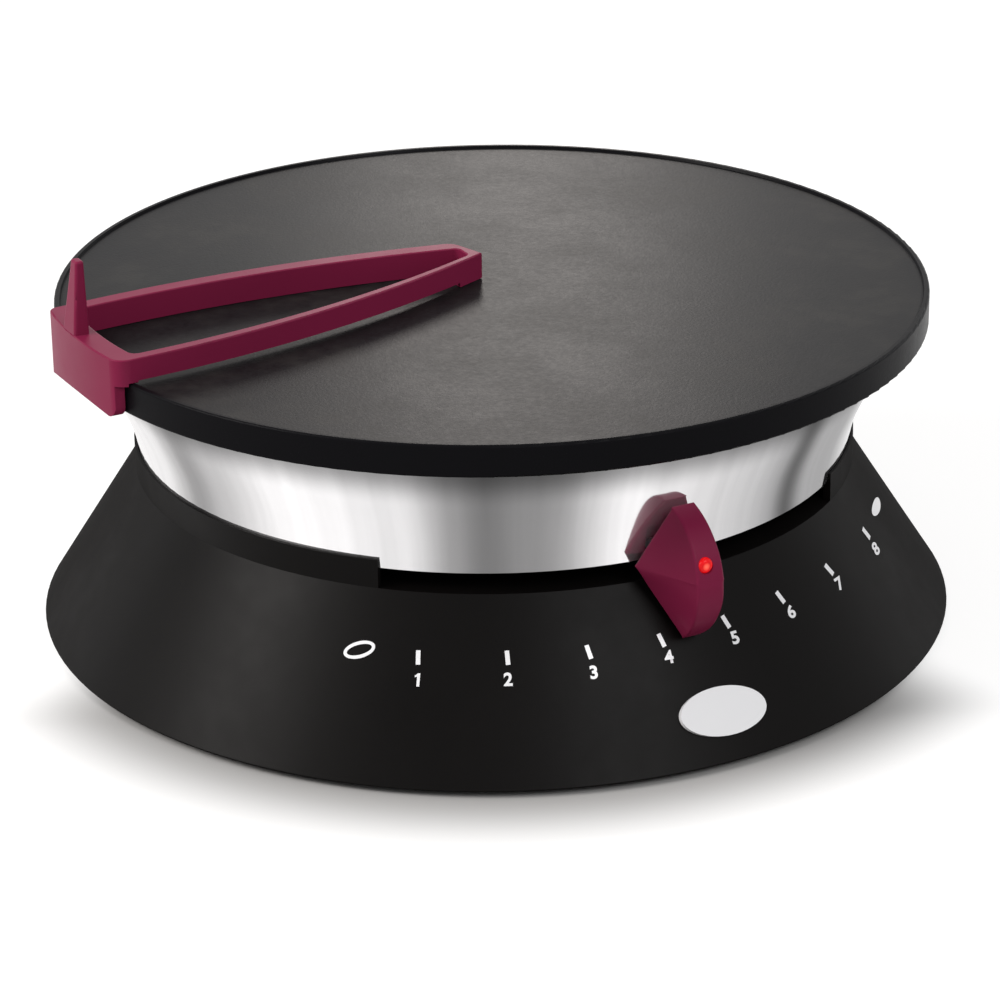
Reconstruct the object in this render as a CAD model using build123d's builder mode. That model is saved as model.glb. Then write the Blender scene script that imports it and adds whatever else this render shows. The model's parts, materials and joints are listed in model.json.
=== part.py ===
from build123d import *
from math import atan2, cos, degrees, hypot, pi, radians, sin, sqrt, tan
import os

# Electric crepe maker: a cast griddle plate on a flared steel band, standing on a moulded cone,
# with a thermostat knob that slides round the waist and a batter spreader hooked on the plate.
#
# Millimetres, +Z up. The origin is on the table under the middle of the base, and the front of
# the appliance looks along -Y. An azimuth is an angle about Z counted from the front, positive
# towards +X. A radius is counted from the axis of the plate.

# ------------------------------------------------------------------ plate
PLATE_RADIUS = 175.0
OVERALL_HEIGHT = 137.6
RIM_HEIGHT = 12.8
RIM_WALL = 4.5
LIP_WIDTH = 2.2
LIP_DEPTH = 1.1
PLATE_THICKNESS = 6.0
RIM_EDGE = 1.0

# ------------------------------------------------------------------ base
BASE_RADIUS = PLATE_RADIUS + 11.2
FLOOR_GAP = 2.5
CONE_HEIGHT = 63.0
WAIST_RADIUS = PLATE_RADIUS - 29.0
CONE_WALL = 3.0
CONE_EDGE = 0.5
COLLAR_HEIGHT = 11.5
SLOT_HEIGHT = 7.8
SLOT_FROM = -17.6
SLOT_TO = 65.0
SHELF_INNER_RADIUS = WAIST_RADIUS - 20.0
SHELF_THICKNESS = 3.5
POST_RADIUS = WAIST_RADIUS - 5.5
POST_SIZE = 4.5
POST_COUNT = 6
POST_FIRST = 30.0
RIB_THICKNESS = 2.5
COVER_THICKNESS = 2.0
COVER_LIFT = 2.0
VENT_COUNT = 24
VENT_RADIUS = 88.0
VENT_LENGTH = 26.0
VENT_WIDTH = 3.0
FOOT_COUNT = 4
FOOT_CIRCLE = BASE_RADIUS - 26.2
FOOT_RADIUS = 10.0
FOOT_STEM_RADIUS = 4.0

# ------------------------------------------------------------------ steel band
BAND_WALL = 1.0
BAND_BOTTOM_RADIUS = WAIST_RADIUS - 1.6
BAND_BOTTOM_ANGLE = 4.0
BAND_BEND_TANGENT = 12.05
BAND_RIM_GAP = 5.9
BAND_FLANGE_INNER = PLATE_RADIUS - 25.0
SPACER_HEIGHT = 3.1
SPACER_RADIUS = 5.0
SPACER_COUNT = 6

# ------------------------------------------------------------------ heater
TUBE_RADIUS = 4.0
OUTER_RING = PLATE_RADIUS - 47.0
INNER_RING = 72.0
RING_START = 98.0
RING_SWEEP = 320.0
LEG_BEND = 12.0
LEG_LENGTH = 16.0
PIN_LENGTH = 12.0
CLAMP_WIDTH = 14.0
CLAMP_THICKNESS = 1.5
REFLECTOR_SHEET = 0.6
REFLECTOR_DEPTH = 20.0
REFLECTOR_FLOOR_RADIUS = PLATE_RADIUS - 37.0
REFLECTOR_MOUTH_RADIUS = PLATE_RADIUS - 26.5
PAD_THICKNESS = 11.0
PAD_RADIUS = OUTER_RING - 3.0

# ------------------------------------------------------------------ chassis and tie studs
CHASSIS_RADIUS = WAIST_RADIUS - 11.0
CHASSIS_THICKNESS = 2.0
STUD_RADIUS = 3.0
STUD_CIRCLE = 100.0
STUD_AZIMUTHS = (-35.0, 85.0, 205.0)
CLAMP_AZIMUTHS = (25.0, 145.0, 265.0)
SLEEVE_RADIUS = 5.0
CHASSIS_SCREW_CIRCLE = WAIST_RADIUS - 15.5
CHASSIS_SCREW_AZIMUTHS = (15.0, 105.0, 195.0, 285.0)

# ------------------------------------------------------------------ thermostat and lever
THERMOSTAT_LENGTH = 42.0
THERMOSTAT_WIDTH = 36.0
THERMOSTAT_HEIGHT = 22.0
BUSH_RADIUS = 5.0
BUSH_HEIGHT = 5.0
SPINDLE_RADIUS = 3.0
SPINDLE_FLAT = 1.6
HUB_RADIUS = 8.0
HUB_GAP = 1.0
HUB_HEIGHT = 10.0
ARM_WIDTH = 12.0
ARM_NECK = 8.0
ARM_THICKNESS = 2.0
ARM_CLEARANCE = 1.7
ARM_REACH = WAIST_RADIUS + 17.0
BULB_RADIUS = 3.0
BULB_LENGTH = 50.0
CAPILLARY_RADIUS = 0.8

# ------------------------------------------------------------------ knob
KNOB_AZIMUTH = 27.2
KNOB_DISC_RADIUS = 27.65
KNOB_DISC_CENTRE = WAIST_RADIUS + 1.95
KNOB_DISC_LIFT = 4.6
KNOB_WAIST_GAP = 1.8
KNOB_WAIST_LIFT = 8.1
KNOB_TOP_LIFT = 31.6
KNOB_TIP_DROP = 20.2
KNOB_BAND_GAP = 3.0
KNOB_CONE_GAP = 1.6
KNOB_HALF_WAIST = 18.1
KNOB_HALF_TOP = 4.8
KNOB_HALF_FACE = 5.7
KNOB_HALF_TIP = 3.2
KNOB_STEPS = 6
KNOB_BACK_INSET = 3.4
KNOB_BACK_THICKNESS = 1.8
KNOB_BACK_HALF = 9.0
KNOB_BACK_LENGTH = 19.5
KNOB_BACK_LIFT = 8.8
KNOB_BACK_SLOT = 6.6
KNOB_CHAMBER = 10.2
KNOB_CHAMBER_HALF = 4.0
KNOB_EDGE = 1.2
LED_RADIUS = 3.0
LED_LIFT = 14.5
LED_SIDE = -1.3
LAMP_RADIUS = 2.0
LED_LEAD_RADIUS = 0.6
KNOB_SCREW_RADIUS = 1.1
KNOB_SCREW_DEPTH = 7.0
WIRE_RADIUS = 1.1

# ------------------------------------------------------------------ spreader
SPREADER_AZIMUTH = -62.7
HOOK_GAP = 0.6
HOOK_WALL = 4.4
HOOK_OUTER_RADIUS = PLATE_RADIUS + HOOK_GAP + HOOK_WALL
HOOK_DROP = 2.8
HOOK_HALF = 40.0
HOOK_EDGE_BACK = -2.3
HOOK_EDGE_MIDDLE = 3.1
HOOK_EDGE_FRONT = 1.6
HOOK_TOE_SIDE = 27.5
HOOK_TOE = 4.5
SPREADER_HEIGHT = 11.0
SPREADER_GAP = 0.3
FILM_GAP = 2.1
FRONT_TIP = (1.2, -6.0)
FRONT_END = (PLATE_RADIUS - 10.0, 34.8)
FRONT_BOW = 8.0
FRONT_RAIL_TIP = 3.2
FRONT_RAIL_HOOK = 5.2
BACK_TIP = (6.0, -22.3)
BACK_END = (PLATE_RADIUS - 10.0, -33.2)
BACK_BOW = -6.6
BACK_RAIL = 7.0
TIP_CORNER = 7.0
HOOK_FRONT_CORNER = 6.5
HOOK_BACK_CORNER = 4.0
WINDOW_OUTER_RADIUS = PLATE_RADIUS - 4.5
WINDOW_TIP = 7.0
WINDOW_CORNER = 3.5
WINDOW_TIP_CORNER = 2.4
FILM_FROM = 14.0
FILM_TO = WINDOW_OUTER_RADIUS - 2.5
FILM_SIDE = 2.0
SPREADER_EDGE = 0.6
SPREADER_REACH = PLATE_RADIUS + 25.0
PEG_HEIGHT = 29.6
PEG_BASE = (6.4, 12.0)
PEG_TOP = (3.4, 5.4)
PEG_CORNER = 1.2
PEG_EDGE = 0.9
PEG_PLACE = (PLATE_RADIUS + 1.6, -4.6)
PEG_LEAN = (-0.4, 4.0)

# ------------------------------------------------------------------ inlet and badge
INLET_HEIGHT = 20.0
INLET_BOSS_RADIUS = 13.0
INLET_FACE = BASE_RADIUS - 8.2
INLET_DEPTH = 18.0
GLAND_RADIUS = 8.0
GLAND_FLANGE = 11.0
CORD_RADIUS = 3.6
BADGE_AZIMUTH = 29.0
BADGE_LIFT = 19.1
BADGE_LENGTH = 37.0
BADGE_WIDTH = 18.9
BADGE_TILT = -3.8
BADGE_THICKNESS = 1.2

# ------------------------------------------------------------------ fasteners and small fits
FIT = 0.05
LOOSE = 0.3
SCREW_M5 = 2.5
SCREW_M4 = 2.0
SCREW_M3 = 1.5

# ------------------------------------------------------------------ levels worked out from the sizes
CONE_TOP = FLOOR_GAP + CONE_HEIGHT
COLLAR_TOP = CONE_TOP + COLLAR_HEIGHT
BAND_BOTTOM = CONE_TOP + SLOT_HEIGHT
SHELF_UNDER = CONE_TOP - SHELF_THICKNESS
CHASSIS_UNDER = SHELF_UNDER - CHASSIS_THICKNESS
COVER_UNDER = FLOOR_GAP + COVER_LIFT
COVER_TOP = COVER_UNDER + COVER_THICKNESS
RIM_BOTTOM = OVERALL_HEIGHT - RIM_HEIGHT
PLATE_FACE = OVERALL_HEIGHT - LIP_DEPTH
PLATE_UNDER = PLATE_FACE - PLATE_THICKNESS
LIP_INNER = PLATE_RADIUS - LIP_WIDTH
BAND_TOP = PLATE_UNDER - SPACER_HEIGHT - REFLECTOR_SHEET
BAND_TOP_RADIUS = PLATE_RADIUS - RIM_WALL - BAND_RIM_GAP
BAND_TOP_ANGLE = degrees(
    atan2(
        BAND_TOP_RADIUS - BAND_BOTTOM_RADIUS - BAND_BEND_TANGENT * sin(radians(BAND_BOTTOM_ANGLE)),
        BAND_TOP - BAND_BOTTOM - BAND_BEND_TANGENT * cos(radians(BAND_BOTTOM_ANGLE)),
    )
)
BAND_BEND_RADIUS = BAND_BEND_TANGENT / tan(radians(BAND_TOP_ANGLE - BAND_BOTTOM_ANGLE) / 2)
TUBE_LEVEL = PLATE_UNDER - LOOSE - TUBE_RADIUS
CLAMP_TOP = TUBE_LEVEL - TUBE_RADIUS - 2 * FIT
CLAMP_UNDER = CLAMP_TOP - CLAMP_THICKNESS
REFLECTOR_RIM = PLATE_UNDER - SPACER_HEIGHT
REFLECTOR_FLOOR = REFLECTOR_RIM - REFLECTOR_DEPTH
PAD_TOP = REFLECTOR_FLOOR - REFLECTOR_SHEET - FIT
PAD_UNDER = PAD_TOP - PAD_THICKNESS
STUD_BOSS_UNDER = PLATE_UNDER - 9.0
LEG_BOTTOM = TUBE_LEVEL - LEG_BEND - LEG_LENGTH
PIN_END = LEG_BOTTOM - PIN_LENGTH
BUSH_TOP = SHELF_UNDER + BUSH_HEIGHT - CHASSIS_THICKNESS
HUB_UNDER = BUSH_TOP + HUB_GAP
ARM_UNDER = CONE_TOP + ARM_CLEARANCE
ARM_TOP = ARM_UNDER + ARM_THICKNESS
COLLAR_INNER = WAIST_RADIUS - CONE_WALL
CONE_SLOPE = atan2(BASE_RADIUS - WAIST_RADIUS, CONE_HEIGHT)


def cone_radius(height):
    """Outer radius of the cone at a height."""
    return BASE_RADIUS - (height - FLOOR_GAP) * tan(CONE_SLOPE)


def cone_inner(height):
    """Inner radius of the cone's wall at a height."""
    return cone_radius(height) - CONE_WALL / cos(CONE_SLOPE)


def band_radius(height):
    """Outer radius of the steel band at a height: an arc, then a straight flare."""
    low, high = radians(BAND_BOTTOM_ANGLE), radians(BAND_TOP_ANGLE)
    rise = (height - BAND_BOTTOM) / BAND_BEND_RADIUS + sin(low)
    if rise < sin(high):
        return BAND_BOTTOM_RADIUS + BAND_BEND_RADIUS * (cos(low) - sqrt(1 - rise**2))
    bend_end = BAND_BOTTOM + BAND_BEND_RADIUS * (sin(high) - sin(low))
    bend_radius = BAND_BOTTOM_RADIUS + BAND_BEND_RADIUS * (cos(low) - cos(high))
    return bend_radius + (height - bend_end) * tan(high)


def spot(radius, azimuth, height=0.0):
    """Point at a radius, an azimuth and a height."""
    turn = radians(azimuth)
    return (radius * sin(turn), -radius * cos(turn), height)


def level(height, azimuth=90.0):
    """Horizontal plane at a height, with its X axis pointing out along an azimuth."""
    turn = radians(azimuth)
    return Plane(origin=(0, 0, height), x_dir=(sin(turn), -cos(turn), 0), z_dir=(0, 0, 1))


def spoke(azimuth):
    """Upright plane through the plate's axis: X points out along an azimuth, Y points up."""
    turn = radians(azimuth)
    return Plane(origin=(0, 0, 0), x_dir=(sin(turn), -cos(turn), 0), z_dir=(-cos(turn), -sin(turn), 0))


def beside(azimuth, out, side, height=0.0):
    """Point in the frame of an azimuth: so far out along it, so far to its side, at a height."""
    turn = radians(azimuth)
    return (out * sin(turn) + side * cos(turn), side * sin(turn) - out * cos(turn), height)


def ring_of(radius, azimuths, height=0.0):
    """Points round a circle, one for each azimuth."""
    return [spot(radius, azimuth, height) for azimuth in azimuths]


def even(count, first=0.0):
    """Evenly spaced azimuths from a first one."""
    return [first + 360.0 * index / count for index in range(count)]


def rod(radius, low, high, places, mode=Mode.ADD):
    """Upright cylinders from one height to another at points in plan."""
    with Locations([(place[0], place[1], low) for place in places]):
        Cylinder(radius, high - low, align=(Align.CENTER, Align.CENTER, Align.MIN), mode=mode)


def bend_radii(points):
    """Radius of each bend of a lead: nearly half of its shorter run, over half the turn's tangent."""
    radii = []
    for before, at, after in zip(points, points[1:], points[2:]):
        run_in = Vector(at) - Vector(before)
        run_out = Vector(after) - Vector(at)
        half_turn = radians(run_in.get_angle(run_out)) / 2
        radii.append(0.45 * min(run_in.length, run_out.length) / tan(half_turn))
    return radii


def add_lead(points, radius):
    """Round wire of a radius along a hand-laid route."""
    with BuildLine() as route:
        FilletPolyline(*points, radius=bend_radii(points))
    wire = route.wires()[0]
    with BuildSketch(Plane(origin=wire @ 0, z_dir=wire % 0)) as section:
        Circle(radius)
    sweep(section.sketch, path=wire)


POSTS = ring_of(POST_RADIUS, even(POST_COUNT, POST_FIRST))
STUDS = ring_of(STUD_CIRCLE, STUD_AZIMUTHS)
CLAMPS = ring_of(STUD_CIRCLE, CLAMP_AZIMUTHS)
SPACERS = ring_of(BAND_FLANGE_INNER + 6.5, even(SPACER_COUNT))
FEET = ring_of(FOOT_CIRCLE, even(FOOT_COUNT, 45.0))
CHASSIS_SCREWS = ring_of(CHASSIS_SCREW_CIRCLE, CHASSIS_SCREW_AZIMUTHS)
THERMOSTAT_SCREWS = [(-14.0, 0.0), (14.0, 0.0)]
TERMINAL_PLACE = (-50.0, 62.0)
TERMINAL_SIZE = (32.0, 18.0, 16.0)
TERMINAL_SCREWS = [(TERMINAL_PLACE[0] + side * 12.0, TERMINAL_PLACE[1]) for side in (-1, 1)]
GROMMET_PLACE = (-10.0, SHELF_INNER_RADIUS - 26.0)
GROMMET_RADIUS = 8.0
EARTH_PLACE = (30.0, 90.0)
BULB_PLACE = (0.0, -35.0)
CLIP_PLACE = (0.0, -24.0)
CAPILLARY_HOLE = (-38.0, -30.0)

# ================================================================== base: moulded cone
with BuildPart() as base_cone:
    with BuildSketch(Plane.XZ):
        with BuildLine():
            Polyline(
                (BASE_RADIUS, FLOOR_GAP),
                (WAIST_RADIUS, CONE_TOP),
                (WAIST_RADIUS, COLLAR_TOP),
                (band_radius(COLLAR_TOP) + LOOSE, COLLAR_TOP),
                (band_radius(COLLAR_TOP) + LOOSE, BAND_BOTTOM),
                (COLLAR_INNER, BAND_BOTTOM),
                (COLLAR_INNER, CONE_TOP),
                (SHELF_INNER_RADIUS, CONE_TOP),
                (SHELF_INNER_RADIUS, SHELF_UNDER),
                (cone_inner(SHELF_UNDER), SHELF_UNDER),
                (cone_inner(FLOOR_GAP), FLOOR_GAP),
                (BASE_RADIUS, FLOOR_GAP),
            )
        make_face()
    revolve(axis=Axis.Z)
    foot_edge = base_cone.edges().filter_by(GeomType.CIRCLE).sort_by(lambda edge: edge.radius)[-1]
    fillet(foot_edge, CONE_EDGE)
    # the knob's slot is cut through the collar, from the cone's top edge upwards
    with BuildSketch(spoke(SLOT_FROM)):
        with Locations(((COLLAR_INNER + WAIST_RADIUS) / 2, (CONE_TOP + COLLAR_TOP) / 2 + 1)):
            Rectangle(WAIST_RADIUS - COLLAR_INNER + 4, COLLAR_HEIGHT + 2)
    revolve(axis=Axis.Z, revolution_arc=SLOT_TO - SLOT_FROM, mode=Mode.SUBTRACT)
    # posts for the cover's screws hang from the shelf, each with a rib to the wall
    rod(POST_SIZE, COVER_TOP, SHELF_UNDER, POSTS)
    for azimuth in even(POST_COUNT, POST_FIRST):
        with BuildSketch(spoke(azimuth)):
            with BuildLine():
                Polyline(
                    (POST_RADIUS, SHELF_UNDER),
                    (POST_RADIUS, 0.4 * SHELF_UNDER),
                    (cone_inner(0.4 * SHELF_UNDER) + 1, 0.4 * SHELF_UNDER),
                    (cone_inner(SHELF_UNDER) + 1, SHELF_UNDER),
                    close=True,
                )
            make_face()
        extrude(amount=RIB_THICKNESS / 2, both=True)
    rod(SCREW_M4 + FIT, COVER_TOP, COVER_TOP + 14, POSTS, Mode.SUBTRACT)
    rod(SCREW_M4 + FIT, SHELF_UNDER, CONE_TOP - 0.5, CHASSIS_SCREWS, Mode.SUBTRACT)
    # flat boss for the cord gland at the back
    with BuildSketch(Plane(origin=(0, INLET_FACE - INLET_DEPTH, INLET_HEIGHT), z_dir=(0, 1, 0))):
        Circle(INLET_BOSS_RADIUS)
    extrude(amount=INLET_DEPTH)
    with BuildSketch(Plane(origin=(0, INLET_FACE, INLET_HEIGHT), z_dir=(0, 1, 0))):
        Circle(GLAND_FLANGE + LOOSE)
    extrude(amount=INLET_DEPTH, mode=Mode.SUBTRACT)
    with BuildSketch(Plane(origin=(0, INLET_FACE - INLET_DEPTH, INLET_HEIGHT), z_dir=(0, 1, 0))):
        Circle(GLAND_RADIUS + FIT)
    extrude(amount=2 * INLET_DEPTH, mode=Mode.SUBTRACT)

# ================================================================== base: bottom cover and feet
COVER_RADIUS = cone_inner(COVER_TOP) - LOOSE
with BuildPart() as bottom_cover:
    with BuildSketch(Plane.XY.offset(COVER_UNDER)):
        Circle(COVER_RADIUS)
        with PolarLocations(VENT_RADIUS, VENT_COUNT):
            SlotOverall(VENT_LENGTH, VENT_WIDTH, mode=Mode.SUBTRACT)
        with Locations(POSTS):
            Circle(SCREW_M4 + LOOSE, mode=Mode.SUBTRACT)
        with Locations(FEET):
            Circle(FOOT_STEM_RADIUS + FIT, mode=Mode.SUBTRACT)
    extrude(amount=COVER_THICKNESS)
    # stiffening ring round the vents
    with BuildSketch(Plane.XY.offset(COVER_TOP)):
        Circle(VENT_RADIUS + VENT_LENGTH)
        Circle(VENT_RADIUS + VENT_LENGTH - COVER_THICKNESS, mode=Mode.SUBTRACT)
    extrude(amount=2 * COVER_THICKNESS)

with BuildPart() as rubber_feet:
    rod(FOOT_RADIUS, 0, COVER_UNDER, FEET)
    chamfer(rubber_feet.edges().group_by(Axis.Z)[0], FOOT_RADIUS / 10)
    rod(FOOT_STEM_RADIUS, COVER_UNDER, COVER_TOP + 2, FEET)
    rod(FOOT_STEM_RADIUS + 1.2, COVER_TOP, COVER_TOP + 2, FEET)

with BuildPart() as cover_screws:
    rod(SCREW_M4, COVER_UNDER, COVER_TOP + 12, POSTS)
    rod(2 * SCREW_M4, COVER_UNDER - 2.2, COVER_UNDER, POSTS)
    chamfer(cover_screws.edges().group_by(Axis.Z)[0], 0.6)

# ================================================================== base: cord gland
GLAND_PLANE = Plane(origin=(0, INLET_FACE - INLET_DEPTH - 4, INLET_HEIGHT), z_dir=(0, 1, 0))
with BuildPart() as cord_gland:
    with BuildSketch(GLAND_PLANE):
        Circle(GLAND_RADIUS)
    extrude(amount=INLET_DEPTH + 4)
    with BuildSketch(GLAND_PLANE.offset(INLET_DEPTH + 4)):
        Circle(GLAND_FLANGE)
    extrude(amount=3)
    with BuildSketch(GLAND_PLANE.offset(INLET_DEPTH + 7)):
        Circle(GLAND_RADIUS - 1)
    extrude(amount=3.5, taper=8)
    with BuildSketch(GLAND_PLANE):
        Circle(CORD_RADIUS)
    extrude(amount=2 * INLET_DEPTH, mode=Mode.SUBTRACT)

with BuildPart() as gland_nut:
    with BuildSketch(GLAND_PLANE.offset(0.5)):
        RegularPolygon(GLAND_FLANGE, 6)
        Circle(GLAND_RADIUS + FIT, mode=Mode.SUBTRACT)
    extrude(amount=3.5)

# ================================================================== base: plain badge plate
BADGE_RADIUS = cone_radius(BADGE_LIFT)
BADGE_PLANE = Plane(
    origin=spot(BADGE_RADIUS, BADGE_AZIMUTH, BADGE_LIFT),
    x_dir=(cos(radians(BADGE_AZIMUTH)), sin(radians(BADGE_AZIMUTH)), 0),
    z_dir=spot(cos(CONE_SLOPE), BADGE_AZIMUTH, sin(CONE_SLOPE)),
)
with BuildPart() as badge_plate:
    with BuildSketch(BADGE_PLANE.offset(-3)):
        Ellipse(BADGE_LENGTH / 2, BADGE_WIDTH / 2, rotation=BADGE_TILT)
    extrude(amount=3 + BADGE_THICKNESS)
    # its back follows the cone
    with BuildSketch(Plane.XZ):
        with BuildLine():
            Polyline(
                (0, FLOOR_GAP),
                (BASE_RADIUS + FIT, FLOOR_GAP),
                (WAIST_RADIUS + FIT, CONE_TOP),
                (0, CONE_TOP),
                close=True,
            )
        make_face()
    revolve(axis=Axis.Z, mode=Mode.SUBTRACT)

# ================================================================== chassis plate
with BuildPart() as chassis_plate:
    with BuildSketch(Plane.XY.offset(CHASSIS_UNDER)):
        Circle(CHASSIS_RADIUS)
        Circle(BUSH_RADIUS + LOOSE, mode=Mode.SUBTRACT)
        with Locations(STUDS):
            Circle(STUD_RADIUS + LOOSE, mode=Mode.SUBTRACT)
        with Locations(CHASSIS_SCREWS):
            Circle(SCREW_M4 + LOOSE, mode=Mode.SUBTRACT)
        with Locations(THERMOSTAT_SCREWS + TERMINAL_SCREWS):
            Circle(SCREW_M3 + LOOSE, mode=Mode.SUBTRACT)
        with Locations(GROMMET_PLACE):
            Circle(GROMMET_RADIUS, mode=Mode.SUBTRACT)
        with Locations(EARTH_PLACE):
            Circle(SCREW_M4 + LOOSE, mode=Mode.SUBTRACT)
        with PolarLocations(VENT_RADIUS - 25, 12, start_angle=15):
            SlotOverall(VENT_LENGTH - 6, 2 * VENT_WIDTH, mode=Mode.SUBTRACT)
    extrude(amount=CHASSIS_THICKNESS)

with BuildPart() as chassis_screws:
    rod(SCREW_M4, CHASSIS_UNDER, CONE_TOP - 0.8, CHASSIS_SCREWS)
    rod(2 * SCREW_M4, CHASSIS_UNDER - 2.5, CHASSIS_UNDER, CHASSIS_SCREWS)

with BuildPart() as wire_grommet:
    rod(GROMMET_RADIUS - FIT, CHASSIS_UNDER - 2, SHELF_UNDER + 2, [GROMMET_PLACE])
    rod(GROMMET_RADIUS + 1.5, CHASSIS_UNDER - 2, CHASSIS_UNDER, [GROMMET_PLACE])
    rod(GROMMET_RADIUS + 1.5, SHELF_UNDER, SHELF_UNDER + 2, [GROMMET_PLACE])
    rod(GROMMET_RADIUS - 2.5, CHASSIS_UNDER - 3, SHELF_UNDER + 3, [GROMMET_PLACE], Mode.SUBTRACT)

# ================================================================== steel band
with BuildPart() as steel_band:
    with BuildSketch(Plane.XZ):
        with BuildLine():
            bend_top = BAND_BOTTOM + BAND_BEND_RADIUS * (
                sin(radians(BAND_TOP_ANGLE)) - sin(radians(BAND_BOTTOM_ANGLE))
            )
            outer_bend = JernArc(
                (BAND_BOTTOM_RADIUS, BAND_BOTTOM),
                (sin(radians(BAND_BOTTOM_ANGLE)), cos(radians(BAND_BOTTOM_ANGLE))),
                BAND_BEND_RADIUS,
                BAND_BOTTOM_ANGLE - BAND_TOP_ANGLE,
            )
            inner_bend = JernArc(
                (BAND_BOTTOM_RADIUS - BAND_WALL, BAND_BOTTOM),
                (sin(radians(BAND_BOTTOM_ANGLE)), cos(radians(BAND_BOTTOM_ANGLE))),
                BAND_BEND_RADIUS,
                BAND_BOTTOM_ANGLE - BAND_TOP_ANGLE,
            )
            Line(outer_bend @ 0, inner_bend @ 0)
            Polyline(
                outer_bend @ 1,
                (band_radius(BAND_TOP), BAND_TOP),
                (BAND_FLANGE_INNER, BAND_TOP),
                (BAND_FLANGE_INNER, BAND_TOP - BAND_WALL),
                (band_radius(BAND_TOP - BAND_WALL) - BAND_WALL, BAND_TOP - BAND_WALL),
                inner_bend @ 1,
            )
        make_face()
    revolve(axis=Axis.Z)

# ================================================================== griddle plate
with BuildPart() as griddle_plate:
    with BuildSketch(Plane.XZ):
        with BuildLine():
            Polyline(
                (0, PLATE_UNDER),
                (PLATE_RADIUS - RIM_WALL, PLATE_UNDER),
                (PLATE_RADIUS - RIM_WALL, RIM_BOTTOM),
                (PLATE_RADIUS, RIM_BOTTOM),
                (PLATE_RADIUS, OVERALL_HEIGHT),
                (LIP_INNER, OVERALL_HEIGHT),
                (LIP_INNER - LIP_DEPTH / 2, PLATE_FACE),
                (0, PLATE_FACE),
                close=True,
            )
        make_face()
    revolve(axis=Axis.Z)
    rims = griddle_plate.edges().filter_by(GeomType.CIRCLE).filter_by(
        lambda edge: abs(edge.radius - PLATE_RADIUS) < FIT
    )
    fillet(rims, RIM_EDGE)
    rod(7.0, STUD_BOSS_UNDER, PLATE_UNDER, STUDS)
    rod(6.0, CLAMP_TOP, PLATE_UNDER, CLAMPS + [CLIP_PLACE])
    rod(STUD_RADIUS + FIT, STUD_BOSS_UNDER, PLATE_UNDER + 3, STUDS, Mode.SUBTRACT)
    rod(SCREW_M5 + FIT, CLAMP_TOP, PLATE_UNDER + 2, CLAMPS + [CLIP_PLACE], Mode.SUBTRACT)

# ================================================================== heater
with BuildPart() as heating_element:
    start = radians(RING_START)
    along = Vector(-sin(start), cos(start), 0)
    up = Vector(0, 0, 1)
    outer_start = Vector(OUTER_RING * cos(start), OUTER_RING * sin(start), TUBE_LEVEL)
    inner_end = Vector(INNER_RING * cos(start), INNER_RING * sin(start), TUBE_LEVEL)
    turn_back = RING_START + RING_SWEEP
    middle_ring = (OUTER_RING + INNER_RING) / 2
    outer_leg = outer_start - along * LEG_BEND
    inner_leg = inner_end - along * LEG_BEND
    with BuildLine() as element_route:
        Line((outer_leg.X, outer_leg.Y, LEG_BOTTOM), (outer_leg.X, outer_leg.Y, TUBE_LEVEL - LEG_BEND))
        TangentArc(
            (outer_leg.X, outer_leg.Y, TUBE_LEVEL - LEG_BEND), tuple(outer_start), tangent=(0, 0, 1)
        )
        CenterArc((0, 0, TUBE_LEVEL), OUTER_RING, RING_START, RING_SWEEP)
        CenterArc(
            (middle_ring * cos(radians(turn_back)), middle_ring * sin(radians(turn_back)), TUBE_LEVEL),
            (OUTER_RING - INNER_RING) / 2,
            turn_back,
            180,
        )
        CenterArc((0, 0, TUBE_LEVEL), INNER_RING, turn_back, -RING_SWEEP)
        TangentArc(
            tuple(inner_end), (inner_leg.X, inner_leg.Y, TUBE_LEVEL - LEG_BEND), tangent=tuple(along * -1)
        )
        Line((inner_leg.X, inner_leg.Y, TUBE_LEVEL - LEG_BEND), (inner_leg.X, inner_leg.Y, LEG_BOTTOM))
    with BuildSketch(Plane(origin=(outer_leg.X, outer_leg.Y, LEG_BOTTOM), z_dir=(0, 0, 1))):
        Circle(TUBE_RADIUS)
    sweep(path=element_route.wires()[0])

LEGS = [(outer_leg.X, outer_leg.Y), (inner_leg.X, inner_leg.Y)]
with BuildPart() as element_pins:
    rod(TUBE_RADIUS / 2, PIN_END, LEG_BOTTOM, LEGS)

with BuildPart() as element_bushes:
    rod(TUBE_RADIUS + 2.5, PAD_UNDER - 2, REFLECTOR_FLOOR, LEGS)
    rod(TUBE_RADIUS + 4.5, REFLECTOR_FLOOR, REFLECTOR_FLOOR + 2, LEGS)
    rod(TUBE_RADIUS + LOOSE, PAD_UNDER - 3, REFLECTOR_FLOOR + 3, LEGS, Mode.SUBTRACT)

CLAMP_LENGTH = OUTER_RING - INNER_RING + 4 * TUBE_RADIUS + 4
with BuildPart() as element_clamps:
    for azimuth in CLAMP_AZIMUTHS:
        with BuildSketch(level(CLAMP_UNDER, azimuth)):
            with Locations((middle_ring, 0)):
                RectangleRounded(CLAMP_LENGTH, CLAMP_WIDTH, 3)
            with Locations((STUD_CIRCLE, 0)):
                Circle(SCREW_M5 + LOOSE, mode=Mode.SUBTRACT)
        extrude(amount=CLAMP_THICKNESS)

with BuildPart() as clamp_screws:
    rod(SCREW_M5, CLAMP_UNDER, PLATE_UNDER + 1, CLAMPS + [CLIP_PLACE])
    rod(1.8 * SCREW_M5, CLAMP_UNDER - 3, CLAMP_UNDER, CLAMPS + [CLIP_PLACE])

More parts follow.
